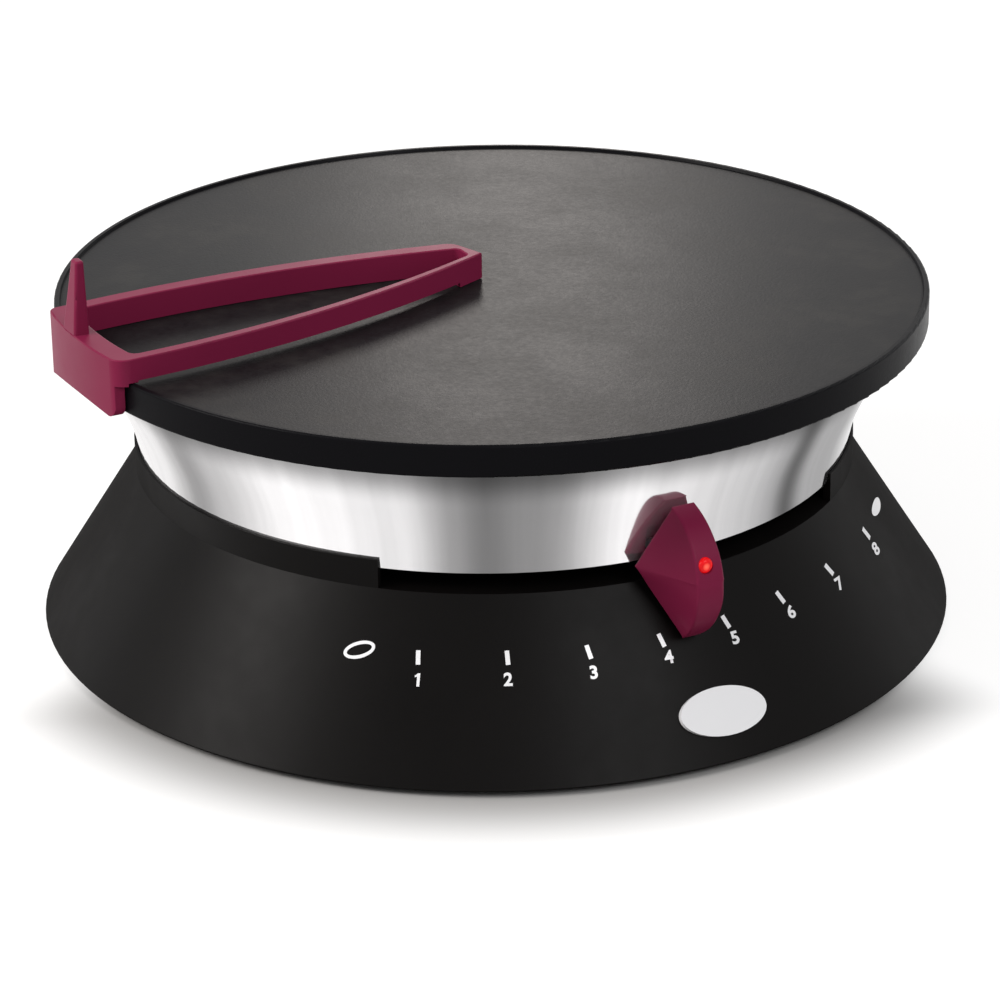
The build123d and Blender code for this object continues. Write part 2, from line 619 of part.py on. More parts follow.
# ================================================================== heat reflector and insulation
with BuildPart() as heat_reflector:
    with BuildSketch(Plane.XZ):
        with BuildLine():
            Polyline(
                (0, REFLECTOR_FLOOR - REFLECTOR_SHEET),
                (REFLECTOR_FLOOR_RADIUS, REFLECTOR_FLOOR - REFLECTOR_SHEET),
                (REFLECTOR_MOUTH_RADIUS, REFLECTOR_RIM - REFLECTOR_SHEET),
                (BAND_FLANGE_INNER + 12, REFLECTOR_RIM - REFLECTOR_SHEET),
                (BAND_FLANGE_INNER + 12, REFLECTOR_RIM),
                (REFLECTOR_MOUTH_RADIUS - REFLECTOR_SHEET, REFLECTOR_RIM),
                (REFLECTOR_FLOOR_RADIUS - REFLECTOR_SHEET, REFLECTOR_FLOOR),
                (0, REFLECTOR_FLOOR),
                close=True,
            )
        make_face()
    revolve(axis=Axis.Z)
    rod(STUD_RADIUS + LOOSE, REFLECTOR_FLOOR - 2, REFLECTOR_FLOOR + 1, STUDS, Mode.SUBTRACT)
    rod(TUBE_RADIUS + 2.5 + FIT, REFLECTOR_FLOOR - 2, REFLECTOR_FLOOR + 1, LEGS, Mode.SUBTRACT)
    rod(2 * CAPILLARY_RADIUS, REFLECTOR_FLOOR - 2, REFLECTOR_FLOOR + 1, [CAPILLARY_HOLE], Mode.SUBTRACT)

with BuildPart() as insulation_pad:
    with BuildSketch(Plane.XY.offset(PAD_UNDER)):
        Circle(PAD_RADIUS)
        with Locations(STUDS):
            Circle(SLEEVE_RADIUS + LOOSE, mode=Mode.SUBTRACT)
        with Locations(LEGS):
            Circle(TUBE_RADIUS + 2.5 + LOOSE, mode=Mode.SUBTRACT)
        with Locations(CAPILLARY_HOLE):
            Circle(2 * CAPILLARY_RADIUS, mode=Mode.SUBTRACT)
    extrude(amount=PAD_THICKNESS)

with BuildPart() as plate_spacers:
    rod(SPACER_RADIUS, REFLECTOR_RIM, PLATE_UNDER, SPACERS)

# ================================================================== tie studs
with BuildPart() as tie_studs:
    rod(STUD_RADIUS, CHASSIS_UNDER - 10, PLATE_UNDER + 2.5, STUDS)

with BuildPart() as upper_sleeves:
    rod(SLEEVE_RADIUS, REFLECTOR_FLOOR, STUD_BOSS_UNDER, STUDS)
    rod(STUD_RADIUS + LOOSE, REFLECTOR_FLOOR - 1, STUD_BOSS_UNDER + 1, STUDS, Mode.SUBTRACT)

with BuildPart() as lower_sleeves:
    rod(SLEEVE_RADIUS, SHELF_UNDER, REFLECTOR_FLOOR - REFLECTOR_SHEET, STUDS)
    rod(STUD_RADIUS + LOOSE, SHELF_UNDER - 1, REFLECTOR_FLOOR, STUDS, Mode.SUBTRACT)

with BuildPart() as stud_washers:
    with BuildSketch(Plane.XY.offset(CHASSIS_UNDER - 1.2)):
        with Locations(STUDS):
            Circle(2 * STUD_RADIUS)
            Circle(STUD_RADIUS + LOOSE, mode=Mode.SUBTRACT)
    extrude(amount=1.2)

with BuildPart() as stud_nuts:
    with BuildSketch(Plane.XY.offset(CHASSIS_UNDER - 6.2)):
        with Locations(STUDS):
            RegularPolygon(1.9 * STUD_RADIUS, 6)
            Circle(STUD_RADIUS + FIT, mode=Mode.SUBTRACT)
    extrude(amount=5)

# ================================================================== thermostat
BULB_LEVEL = PLATE_UNDER - BULB_RADIUS - LOOSE
with BuildPart() as thermostat_body:
    with BuildSketch(Plane.XY.offset(CHASSIS_UNDER)):
        RectangleRounded(THERMOSTAT_LENGTH, THERMOSTAT_WIDTH, 2)
    extrude(amount=-THERMOSTAT_HEIGHT)
    rod(BUSH_RADIUS, CHASSIS_UNDER, BUSH_TOP, [(0, 0)])
    rod(SPINDLE_RADIUS + FIT, CHASSIS_UNDER - 15, BUSH_TOP + 1, [(0, 0)], Mode.SUBTRACT)
    rod(SCREW_M3 + FIT, CHASSIS_UNDER - 6, CHASSIS_UNDER, THERMOSTAT_SCREWS, Mode.SUBTRACT)
    with Locations((-9, -14, CHASSIS_UNDER - THERMOSTAT_HEIGHT), (9, -14, CHASSIS_UNDER - THERMOSTAT_HEIGHT)):
        Box(6.3, 0.8, 16, align=(Align.CENTER, Align.CENTER, Align.CENTER))

with BuildPart() as thermostat_screws:
    rod(SCREW_M3, CHASSIS_UNDER - 5, SHELF_UNDER, THERMOSTAT_SCREWS)
    rod(2 * SCREW_M3, SHELF_UNDER, SHELF_UNDER + 2, THERMOSTAT_SCREWS)

with BuildPart() as sensor_bulb:
    with BuildSketch(Plane(origin=(-BULB_LENGTH / 2, BULB_PLACE[1], BULB_LEVEL), z_dir=(1, 0, 0))):
        Circle(BULB_RADIUS)
    extrude(amount=BULB_LENGTH)

with BuildPart() as bulb_clip:
    # strap under the boss and a saddle under the bulb
    with BuildSketch(Plane.XY.offset(CLAMP_UNDER)):
        with Locations((0, (CLIP_PLACE[1] + BULB_PLACE[1]) / 2)):
            Rectangle(10, abs(CLIP_PLACE[1] - BULB_PLACE[1]) + 16)
        with Locations(CLIP_PLACE):
            Circle(SCREW_M5 + LOOSE, mode=Mode.SUBTRACT)
    extrude(amount=CLAMP_THICKNESS)
    with BuildSketch(Plane.XY.offset(CLAMP_TOP)):
        with Locations((0, BULB_PLACE[1])):
            Rectangle(10, 3)
    extrude(amount=BULB_LEVEL - BULB_RADIUS - FIT - CLAMP_TOP)

with BuildPart() as capillary_tube:
    add_lead(
        [
            (-BULB_LENGTH / 2, BULB_PLACE[1], BULB_LEVEL),
            (-BULB_LENGTH / 2 - 8, BULB_PLACE[1], BULB_LEVEL),
            (CAPILLARY_HOLE[0], CAPILLARY_HOLE[1], BULB_LEVEL - 10),
            (CAPILLARY_HOLE[0], CAPILLARY_HOLE[1], PAD_UNDER - 10),
            (-50.0, -24.0, SHELF_UNDER + 12),
            (-61.0, -16.3, SHELF_UNDER + 6),
            (-60.5, -16.3, CHASSIS_UNDER - 6),
            (-44.0, -8.0, CHASSIS_UNDER - 14),
            (-THERMOSTAT_LENGTH / 2 - 8, -6.0, CHASSIS_UNDER - 12),
            (-THERMOSTAT_LENGTH / 2, -6.0, CHASSIS_UNDER - 12),
        ],
        CAPILLARY_RADIUS,
    )

# ================================================================== wiring under the chassis
with BuildPart() as terminal_block:
    with BuildSketch(Plane.XY.offset(CHASSIS_UNDER)):
        with Locations(TERMINAL_PLACE):
            RectangleRounded(TERMINAL_SIZE[0], TERMINAL_SIZE[1], 1.5)
    extrude(amount=-TERMINAL_SIZE[2])
    rod(SCREW_M3 + FIT, CHASSIS_UNDER - 8, CHASSIS_UNDER, TERMINAL_SCREWS, Mode.SUBTRACT)

with BuildPart() as terminal_screws:
    rod(SCREW_M3, CHASSIS_UNDER - 7, SHELF_UNDER, TERMINAL_SCREWS)
    rod(2 * SCREW_M3, SHELF_UNDER, SHELF_UNDER + 2, TERMINAL_SCREWS)

with BuildPart() as earth_screw:
    rod(SCREW_M4, CHASSIS_UNDER - 3.5, SHELF_UNDER + 2, [EARTH_PLACE])
    rod(2 * SCREW_M4, CHASSIS_UNDER - 3.5, CHASSIS_UNDER - 1, [EARTH_PLACE])
    rod(1.8 * SCREW_M4, SHELF_UNDER, SHELF_UNDER + 2.5, [EARTH_PLACE])

WIRE_START = INLET_FACE - INLET_DEPTH - 6
BLOCK_BACK = TERMINAL_PLACE[1] + TERMINAL_SIZE[1] / 2
BLOCK_LEVEL = CHASSIS_UNDER - TERMINAL_SIZE[2] / 2
TAB_UNDER = CHASSIS_UNDER - THERMOSTAT_HEIGHT - 8
WIRE_MIDDLE = (WIRE_START + BLOCK_BACK) / 2
LEAD_DROP = PIN_END - SHELF_UNDER

with BuildPart() as wire_live:
    add_lead(
        [
            (1.75, WIRE_START, INLET_HEIGHT + 1),
            (1.0, WIRE_START - 24, INLET_HEIGHT + 3),
            (-18.0, WIRE_MIDDLE - 4.5, INLET_HEIGHT + 14),
            (-32.0, BLOCK_BACK + 17, BLOCK_LEVEL - 4),
            (-44.0, BLOCK_BACK + 9, BLOCK_LEVEL),
            (-44.0, BLOCK_BACK, BLOCK_LEVEL),
        ],
        WIRE_RADIUS,
    )

with BuildPart() as wire_neutral:
    add_lead(
        [
            (-1.75, WIRE_START, INLET_HEIGHT + 1),
            (-6.0, WIRE_START - 24, INLET_HEIGHT + 3),
            (-30.0, WIRE_MIDDLE + 1.5, INLET_HEIGHT + 14),
            (-55.0, BLOCK_BACK + 23, BLOCK_LEVEL - 3),
            (-56.0, BLOCK_BACK + 9, BLOCK_LEVEL),
            (-56.0, BLOCK_BACK, BLOCK_LEVEL),
        ],
        WIRE_RADIUS,
    )

with BuildPart() as wire_earth:
    add_lead(
        [
            (0.0, WIRE_START, INLET_HEIGHT - 2),
            (8.0, WIRE_START - 22, INLET_HEIGHT + 2),
            (22.0, WIRE_MIDDLE + 1.5, INLET_HEIGHT + 16),
            (EARTH_PLACE[0], EARTH_PLACE[1] + 13, CHASSIS_UNDER - 6),
            (EARTH_PLACE[0], EARTH_PLACE[1] + 4.9, CHASSIS_UNDER - 1.2),
        ],
        WIRE_RADIUS,
    )
    rod(1.3 * 2 * SCREW_M4, CHASSIS_UNDER - 1, CHASSIS_UNDER, [EARTH_PLACE])
    rod(SCREW_M4 + FIT, CHASSIS_UNDER - 2, CHASSIS_UNDER + 1, [EARTH_PLACE], Mode.SUBTRACT)

with BuildPart() as wire_link:
    add_lead(
        [
            (-50.0, TERMINAL_PLACE[1] - TERMINAL_SIZE[1] / 2, BLOCK_LEVEL),
            (-50.0, TERMINAL_PLACE[1] - TERMINAL_SIZE[1] / 2 - 10, BLOCK_LEVEL),
            (-45.0, 26.0, 40.0),
            (-30.0, 2.0, 24.0),
            (-13.0, -14.0, 18.0),
            (-9.0, -14.0, 21.0),
            (-9.0, -14.0, TAB_UNDER),
        ],
        WIRE_RADIUS,
    )

with BuildPart() as heater_lead_a:
    add_lead(
        [
            (9.0, -14.0, TAB_UNDER),
            (9.0, -14.0, 21.0),
            (13.0, -13.0, 18.0),
            (26.0, -2.0, 19.0),
            (35.0, 20.0, 26.0),
            (32.0, GROMMET_PLACE[1] - 52, 38.0),
            (16.0, GROMMET_PLACE[1] - 26, 45.0),
            (-5.0, GROMMET_PLACE[1] - 2, 51.0),
            (GROMMET_PLACE[0] + 2.5, GROMMET_PLACE[1], SHELF_UNDER + 4),
            (LEGS[0][0] + 1, (GROMMET_PLACE[1] + LEGS[0][1]) / 2 - 2, PIN_END - 0.50 * LEAD_DROP),
            (LEGS[0][0], LEGS[0][1] - 4, PIN_END - 0.46 * LEAD_DROP),
            (LEGS[0][0], LEGS[0][1], PIN_END - 0.30 * LEAD_DROP),
            (LEGS[0][0], LEGS[0][1], PIN_END),
        ],
        WIRE_RADIUS,
    )

with BuildPart() as heater_lead_b:
    add_lead(
        [
            (LEGS[1][0], LEGS[1][1], PIN_END),
            (LEGS[1][0], LEGS[1][1], PIN_END - 0.30 * LEAD_DROP),
            (LEGS[1][0] - 2, LEGS[1][1] + 3, PIN_END - 0.48 * LEAD_DROP),
            (-7.0, (GROMMET_PLACE[1] + LEGS[1][1]) / 2, PIN_END - 0.54 * LEAD_DROP),
            (GROMMET_PLACE[0] - 2.5, GROMMET_PLACE[1], SHELF_UNDER + 4),
            (GROMMET_PLACE[0] - 3.0, GROMMET_PLACE[1], CHASSIS_UNDER - 6),
            (-17.0, GROMMET_PLACE[1] - 16, BLOCK_LEVEL - 2),
            (-22.0, TERMINAL_PLACE[1] + 4, BLOCK_LEVEL - 1),
            (-28.0, TERMINAL_PLACE[1], BLOCK_LEVEL),
            (TERMINAL_PLACE[0] + TERMINAL_SIZE[0] / 2, TERMINAL_PLACE[1], BLOCK_LEVEL),
        ],
        WIRE_RADIUS,
    )

# ================================================================== lever from the spindle to the knob
HUB_TOP = HUB_UNDER + HUB_HEIGHT
HUB_SCREW_LEVEL = HUB_TOP - 3.4
with BuildPart() as thermostat_spindle:
    with BuildSketch(level(CHASSIS_UNDER - 14.5, KNOB_AZIMUTH)):
        Circle(SPINDLE_RADIUS)
    extrude(amount=HUB_TOP - CHASSIS_UNDER + 14.5)
    with BuildSketch(level(HUB_UNDER, KNOB_AZIMUTH)):
        with Locations((-SPINDLE_FLAT - SPINDLE_RADIUS, 0)):
            Rectangle(2 * SPINDLE_RADIUS, 3 * SPINDLE_RADIUS)
    extrude(amount=HUB_HEIGHT, mode=Mode.SUBTRACT)

with BuildPart() as lever_arm:
    with BuildSketch(level(HUB_UNDER, KNOB_AZIMUTH)):
        Circle(HUB_RADIUS)
    extrude(amount=HUB_HEIGHT)
    with BuildSketch(level(ARM_UNDER, KNOB_AZIMUTH)) as arm_outline:
        with Locations(((COLLAR_INNER - 3) / 2, 0)):
            Rectangle(COLLAR_INNER - 3, ARM_WIDTH)
        fillet(arm_outline.vertices().group_by(Axis.X)[-1], 3)
        with Locations((ARM_REACH / 2, 0)):
            Rectangle(ARM_REACH, ARM_NECK)
    extrude(amount=ARM_THICKNESS)
    with BuildSketch(level(HUB_UNDER, KNOB_AZIMUTH)) as spindle_bore:
        Circle(SPINDLE_RADIUS + FIT)
        with Locations((-SPINDLE_FLAT - FIT - SPINDLE_RADIUS, 0)):
            Rectangle(2 * SPINDLE_RADIUS, 3 * SPINDLE_RADIUS, mode=Mode.SUBTRACT)
    extrude(amount=HUB_HEIGHT, mode=Mode.SUBTRACT)
    with BuildSketch(Plane(origin=spot(0, 0, HUB_SCREW_LEVEL), z_dir=spot(-1, KNOB_AZIMUTH))):
        Circle(SCREW_M4 + FIT)
    extrude(amount=2 * HUB_RADIUS, mode=Mode.SUBTRACT)

with BuildPart() as hub_screw:
    with BuildSketch(Plane(origin=spot(-SPINDLE_FLAT - FIT, KNOB_AZIMUTH, HUB_SCREW_LEVEL),
                           z_dir=spot(-1, KNOB_AZIMUTH))):
        Circle(SCREW_M4)
    extrude(amount=HUB_RADIUS - SPINDLE_FLAT)

# ================================================================== knob
KNOB_WAIST = CONE_TOP + KNOB_WAIST_LIFT
KNOB_TOP = CONE_TOP + KNOB_TOP_LIFT
KNOB_TIP = CONE_TOP - KNOB_TIP_DROP
KNOB_CENTRE_LEVEL = CONE_TOP + KNOB_DISC_LIFT
KNOB_WAIST_INNER = WAIST_RADIUS + KNOB_WAIST_GAP


def knob_face(height):
    """Radius of the knob's outer face: a disc that stands on edge."""
    return KNOB_DISC_CENTRE + sqrt(KNOB_DISC_RADIUS**2 - (height - KNOB_CENTRE_LEVEL) ** 2)


def knob_section(height):
    """Four corners of the knob's section at a height, in the knob's own radial frame."""
    if height > KNOB_WAIST:
        share = (height - KNOB_WAIST) / (KNOB_TOP - KNOB_WAIST)
        end = knob_face(KNOB_TOP)
        inner_half = KNOB_HALF_WAIST + share * (KNOB_HALF_TOP - KNOB_HALF_WAIST)
        outer_half = KNOB_HALF_FACE + share * (KNOB_HALF_TOP - KNOB_HALF_FACE)
    else:
        share = (KNOB_WAIST - height) / (KNOB_WAIST - KNOB_TIP)
        end = knob_face(KNOB_TIP)
        inner_half = KNOB_HALF_WAIST + share * (KNOB_HALF_TIP - KNOB_HALF_WAIST)
        outer_half = KNOB_HALF_TIP + sqrt(1 - share**2) * (KNOB_HALF_FACE - KNOB_HALF_TIP)
    inner = KNOB_WAIST_INNER + share * (end - KNOB_WAIST_INNER)
    outer = knob_face(height)
    return ((inner, -inner_half), (outer, -outer_half), (outer, outer_half), (inner, inner_half))


BACK_INNER = KNOB_WAIST_INNER + KNOB_BACK_INSET
BACK_OUTER = BACK_INNER + KNOB_BACK_THICKNESS
BACK_CENTRE = CONE_TOP + KNOB_BACK_LIFT
CHAMBER_END = BACK_OUTER + KNOB_CHAMBER
LED_LEVEL = CONE_TOP + LED_LIFT
KNOB_SCREW_SIDES = (-6.4, 6.4)
KNOB_SCREW_LEVEL = KNOB_WAIST + 2
LED_PLANE = Plane(
    origin=beside(KNOB_AZIMUTH, CHAMBER_END, LED_SIDE, LED_LEVEL),
    z_dir=spot(1, KNOB_AZIMUTH),
)

with BuildPart() as knob_shell:
    for reach in (KNOB_TOP - KNOB_WAIST, KNOB_TIP - KNOB_WAIST):
        for step in range(KNOB_STEPS + 1):
            height = KNOB_WAIST + reach * sin(pi / 2 * 0.95 * step / KNOB_STEPS)
            corners = knob_section(height)
            with BuildSketch(level(height, KNOB_AZIMUTH)) as section:
                with BuildLine():
                    Polyline(*corners, close=True)
                make_face()
                fillet(section.vertices(), min(KNOB_EDGE, 0.4 * (corners[1][0] - corners[0][0])))
        loft()
    # seat of the back plate, pocket of the arm and chamber of the lamp
    with BuildSketch(level(BACK_CENTRE - KNOB_BACK_LENGTH / 2 - FIT, KNOB_AZIMUTH)):
        with Locations((BACK_OUTER - 10, 0)):
            Rectangle(20, 2 * KNOB_BACK_HALF + 2 * FIT)
    extrude(amount=KNOB_BACK_LENGTH + 2 * FIT, mode=Mode.SUBTRACT)
    with BuildSketch(level(ARM_UNDER - FIT, KNOB_AZIMUTH)):
        with Locations(((BACK_OUTER + CHAMBER_END) / 2 - 0.5, 0)):
            Rectangle(CHAMBER_END - BACK_OUTER + 1, ARM_NECK + 2 * FIT)
    extrude(amount=ARM_THICKNESS + 2 * FIT, mode=Mode.SUBTRACT)
    with BuildSketch(level(ARM_TOP, KNOB_AZIMUTH)):
        with Locations(((BACK_OUTER + CHAMBER_END) / 2 - 0.5, 0)):
            Rectangle(CHAMBER_END - BACK_OUTER + 1, 2 * KNOB_CHAMBER_HALF)
    extrude(amount=LED_LEVEL + 3 - ARM_TOP, mode=Mode.SUBTRACT)
    with BuildSketch(LED_PLANE):
        Circle(LED_RADIUS + FIT)
    extrude(amount=20, mode=Mode.SUBTRACT)
    for side in KNOB_SCREW_SIDES:
        seat = beside(KNOB_AZIMUTH, BACK_OUTER, side, KNOB_SCREW_LEVEL)
        with BuildSketch(Plane(origin=seat, z_dir=spot(1, KNOB_AZIMUTH))):
            Circle(KNOB_SCREW_RADIUS + FIT)
        extrude(amount=KNOB_SCREW_DEPTH + 1, mode=Mode.SUBTRACT)

with BuildPart() as knob_back:
    with BuildSketch(level(BACK_CENTRE - KNOB_BACK_LENGTH / 2, KNOB_AZIMUTH)):
        with Locations(((BACK_INNER + BACK_OUTER) / 2, 0)):
            Rectangle(KNOB_BACK_THICKNESS, 2 * KNOB_BACK_HALF)
    extrude(amount=KNOB_BACK_LENGTH)
    # way through for the arm and the lamp's leads
    with BuildSketch(level(ARM_UNDER - FIT, KNOB_AZIMUTH)):
        with Locations(((BACK_INNER + BACK_OUTER) / 2, 0)):
            Rectangle(2 * KNOB_BACK_THICKNESS, ARM_NECK + 2 * FIT)
    extrude(amount=KNOB_BACK_SLOT, mode=Mode.SUBTRACT)
    for side in KNOB_SCREW_SIDES:
        seat = beside(KNOB_AZIMUTH, BACK_INNER - 1, side, KNOB_SCREW_LEVEL)
        with BuildSketch(Plane(origin=seat, z_dir=spot(1, KNOB_AZIMUTH))):
            Circle(KNOB_SCREW_RADIUS + 2 * FIT)
        extrude(amount=KNOB_BACK_THICKNESS + 2, mode=Mode.SUBTRACT)

with BuildPart() as knob_screws:
    for side in KNOB_SCREW_SIDES:
        head = beside(KNOB_AZIMUTH, BACK_INNER - 1.4, side, KNOB_SCREW_LEVEL)
        with BuildSketch(Plane(origin=head, z_dir=spot(1, KNOB_AZIMUTH))):
            Circle(2 * KNOB_SCREW_RADIUS)
        extrude(amount=1.4)
        seat = beside(KNOB_AZIMUTH, BACK_INNER, side, KNOB_SCREW_LEVEL)
        with BuildSketch(Plane(origin=seat, z_dir=spot(1, KNOB_AZIMUTH))):
            Circle(KNOB_SCREW_RADIUS)
        extrude(amount=KNOB_BACK_THICKNESS + KNOB_SCREW_DEPTH)

with BuildPart() as led_lens:
    with BuildSketch(LED_PLANE):
        Circle(LED_RADIUS)
    extrude(amount=knob_face(LED_LEVEL) - CHAMBER_END + 0.8)
    dome = led_lens.edges().sort_by(lambda edge: edge.center().length)[-1]
    fillet(dome, LED_RADIUS / 2)

with BuildPart() as led_lamp:
    with BuildSketch(LED_PLANE):
        Circle(LAMP_RADIUS)
    extrude(amount=-2.5 * LAMP_RADIUS)
    with BuildSketch(LED_PLANE.offset(-2.5 * LAMP_RADIUS)):
        Circle(LAMP_RADIUS + 0.5)
    extrude(amount=1)

LEAD_LEVEL = ARM_TOP + LED_LEAD_RADIUS
with BuildPart() as led_leads:
    for side in (-1, 1):
        add_lead(
            [
                beside(KNOB_AZIMUTH, out, middle + side * half, height)
                for out, middle, half, height in (
                    (CHAMBER_END - 2.5 * LAMP_RADIUS, LED_SIDE, 1.3, LED_LEVEL),
                    (BACK_OUTER + 1.6, LED_SIDE, 1.3, LED_LEVEL),
                    (BACK_OUTER + 1.6, LED_SIDE, 1.3, LEAD_LEVEL + 0.1),
                    (COLLAR_INNER, 0, 1.2, LEAD_LEVEL),
                    (0.7 * COLLAR_INNER, 0, 2.2, LEAD_LEVEL),
                    (0.4 * COLLAR_INNER, 0, 1.4, LEAD_LEVEL),
                    (HUB_RADIUS, 0, 2.0, LEAD_LEVEL),
                )
            ],
            LED_LEAD_RADIUS,
        )

# ================================================================== batter spreader
SPREADER_UNDER = PLATE_FACE + SPREADER_GAP
SPREADER_TOP = PLATE_FACE + SPREADER_HEIGHT
HOOK_BOTTOM = RIM_BOTTOM - HOOK_DROP
HOOK_LOWEST = HOOK_BOTTOM + HOOK_EDGE_BACK
HOOK_TOE_LEVEL = HOOK_BOTTOM + HOOK_EDGE_FRONT
HOOK_PLANE = Plane(
    origin=beside(SPREADER_AZIMUTH, HOOK_OUTER_RADIUS - 3 * HOOK_WALL, 0),
    x_dir=beside(SPREADER_AZIMUTH, 0, 1),
    z_dir=spot(1, SPREADER_AZIMUTH),
)


def bowed(tip, end, bow):
    """Circle through two points in plan, bowed sideways by so much halfway: its centre and radius."""
    run, side = end[0] - tip[0], end[1] - tip[1]
    chord = hypot(run, side)
    radius = (chord**2 / 4 + bow**2) / (2 * abs(bow))
    offset = (radius / abs(bow) - 1) * bow / chord
    return ((tip[0] + end[0]) / 2 + side * offset, (tip[1] + end[1]) / 2 - run * offset), radius


FRONT_CENTRE, FRONT_RADIUS = bowed(FRONT_TIP, FRONT_END, FRONT_BOW)
BACK_CENTRE, BACK_RADIUS = bowed(BACK_TIP, BACK_END, BACK_BOW)
WINDOW_CENTRE, WINDOW_RADIUS = bowed(
    (FRONT_TIP[0], FRONT_TIP[1] - FRONT_RAIL_TIP), (FRONT_END[0], FRONT_END[1] - FRONT_RAIL_HOOK), FRONT_BOW
)
TIP_MIDDLE = ((FRONT_TIP[0] + BACK_TIP[0]) / 2, (FRONT_TIP[1] + BACK_TIP[1]) / 2)
TIP_SLANT = degrees(atan2(BACK_TIP[0] - FRONT_TIP[0], FRONT_TIP[1] - BACK_TIP[1]))

with BuildPart() as spreader_frame:
    # in plan a leaf between two bowed edges, cut off at the tip and rounded by the hook's wall
    with BuildSketch(level(HOOK_LOWEST, SPREADER_AZIMUTH)) as leaf:
        with Locations(FRONT_CENTRE):
            Circle(FRONT_RADIUS)
        with Locations(BACK_CENTRE):
            Circle(BACK_RADIUS, mode=Mode.INTERSECT)
        Circle(HOOK_OUTER_RADIUS, mode=Mode.INTERSECT)
        with Locations(TIP_MIDDLE):
            Rectangle(
                2 * SPREADER_REACH,
                2 * SPREADER_REACH,
                rotation=TIP_SLANT,
                align=(Align.MIN, Align.CENTER),
                mode=Mode.INTERSECT,
            )
        fillet(leaf.vertices().sort_by(Axis.X)[1], TIP_CORNER)
        fillet(leaf.vertices().sort_by(Axis.Y)[-1], HOOK_FRONT_CORNER)
        fillet(leaf.vertices().sort_by(Axis.Y)[0], HOOK_BACK_CORNER)
    extrude(amount=SPREADER_TOP - HOOK_LOWEST)
    # the underside clears the plate's face and lip, and a skirt hooks down over the rim
    with BuildSketch(Plane.XZ):
        with BuildLine():
            Polyline(
                (0, 0),
                (PLATE_RADIUS + HOOK_GAP, 0),
                (PLATE_RADIUS + HOOK_GAP, OVERALL_HEIGHT + 0.4),
                (LIP_INNER - 1.2, OVERALL_HEIGHT + 0.4),
                (LIP_INNER - 1.6, SPREADER_UNDER),
                (0, SPREADER_UNDER),
                close=True,
            )
        make_face()
    revolve(axis=Axis.Z, mode=Mode.SUBTRACT)
    with BuildSketch(level(HOOK_LOWEST, SPREADER_AZIMUTH)) as window:
        with Locations(WINDOW_CENTRE):
            Circle(WINDOW_RADIUS)
        with Locations(BACK_CENTRE):
            Circle(BACK_RADIUS - BACK_RAIL, mode=Mode.INTERSECT)
        Circle(WINDOW_OUTER_RADIUS, mode=Mode.INTERSECT)
        with Locations((WINDOW_TIP, 0)):
            Rectangle(
                SPREADER_REACH, SPREADER_REACH, align=(Align.MIN, Align.CENTER), mode=Mode.INTERSECT
            )
        fillet(window.vertices().sort_by(Axis.X)[-2:], WINDOW_CORNER)
        fillet(window.vertices().sort_by(Axis.X)[:2], WINDOW_TIP_CORNER)
    extrude(amount=SPREADER_TOP, mode=Mode.SUBTRACT)
    # the skirt's lower edge is arched, with a rounded toe, and its front end is upright
    with BuildSketch(HOOK_PLANE):
        with BuildLine():
            ThreePointArc(
                (-HOOK_HALF, HOOK_LOWEST),
                (0, HOOK_BOTTOM + HOOK_EDGE_MIDDLE),
                (HOOK_TOE_SIDE, HOOK_TOE_LEVEL),
            )
            ThreePointArc(
                (HOOK_TOE_SIDE, HOOK_TOE_LEVEL),
                (HOOK_TOE_SIDE + HOOK_TOE * sin(pi / 4), HOOK_TOE_LEVEL + HOOK_TOE * (1 - cos(pi / 4))),
                (HOOK_TOE_SIDE + HOOK_TOE, HOOK_TOE_LEVEL + HOOK_TOE),
            )
            Polyline(
                (HOOK_TOE_SIDE + HOOK_TOE, HOOK_TOE_LEVEL + HOOK_TOE),
                (HOOK_TOE_SIDE + HOOK_TOE, SPREADER_UNDER),
                (HOOK_HALF, SPREADER_UNDER),
                (HOOK_HALF, HOOK_LOWEST - HOOK_WALL),
                (-HOOK_HALF, HOOK_LOWEST - HOOK_WALL),
                (-HOOK_HALF, HOOK_LOWEST),
            )
        make_face()
    extrude(amount=4 * HOOK_WALL, mode=Mode.SUBTRACT)
    # the front rail is raised off the plate by the thickness of the batter
    with BuildSketch(level(SPREADER_UNDER - 1, SPREADER_AZIMUTH)):
        with Locations(FRONT_CENTRE):
            Circle(FRONT_RADIUS + FILM_SIDE)
            Circle(FRONT_RADIUS - FRONT_RAIL_HOOK - FILM_SIDE, mode=Mode.SUBTRACT)
        with Locations((FILM_FROM, 0)):
            Rectangle(
                FILM_TO - FILM_FROM, SPREADER_REACH, align=(Align.MIN, Align.CENTER), mode=Mode.INTERSECT
            )
    extrude(amount=1 + FILM_GAP - SPREADER_GAP, mode=Mode.SUBTRACT)
    fillet(spreader_frame.edges().group_by(Axis.Z)[-1], SPREADER_EDGE)
    # finger peg on the block
    with BuildSketch(level(SPREADER_TOP, SPREADER_AZIMUTH)):
        with Locations(PEG_PLACE):
            RectangleRounded(PEG_BASE[0], PEG_BASE[1], PEG_CORNER)
    with BuildSketch(level(SPREADER_TOP + PEG_HEIGHT, SPREADER_AZIMUTH)):
        with Locations((PEG_PLACE[0] + PEG_LEAN[0], PEG_PLACE[1] + PEG_LEAN[1])):
            RectangleRounded(PEG_TOP[0], PEG_TOP[1], PEG_CORNER)
    loft()
    fillet(spreader_frame.faces().sort_by(Axis.Z)[-1].edges(), PEG_EDGE)

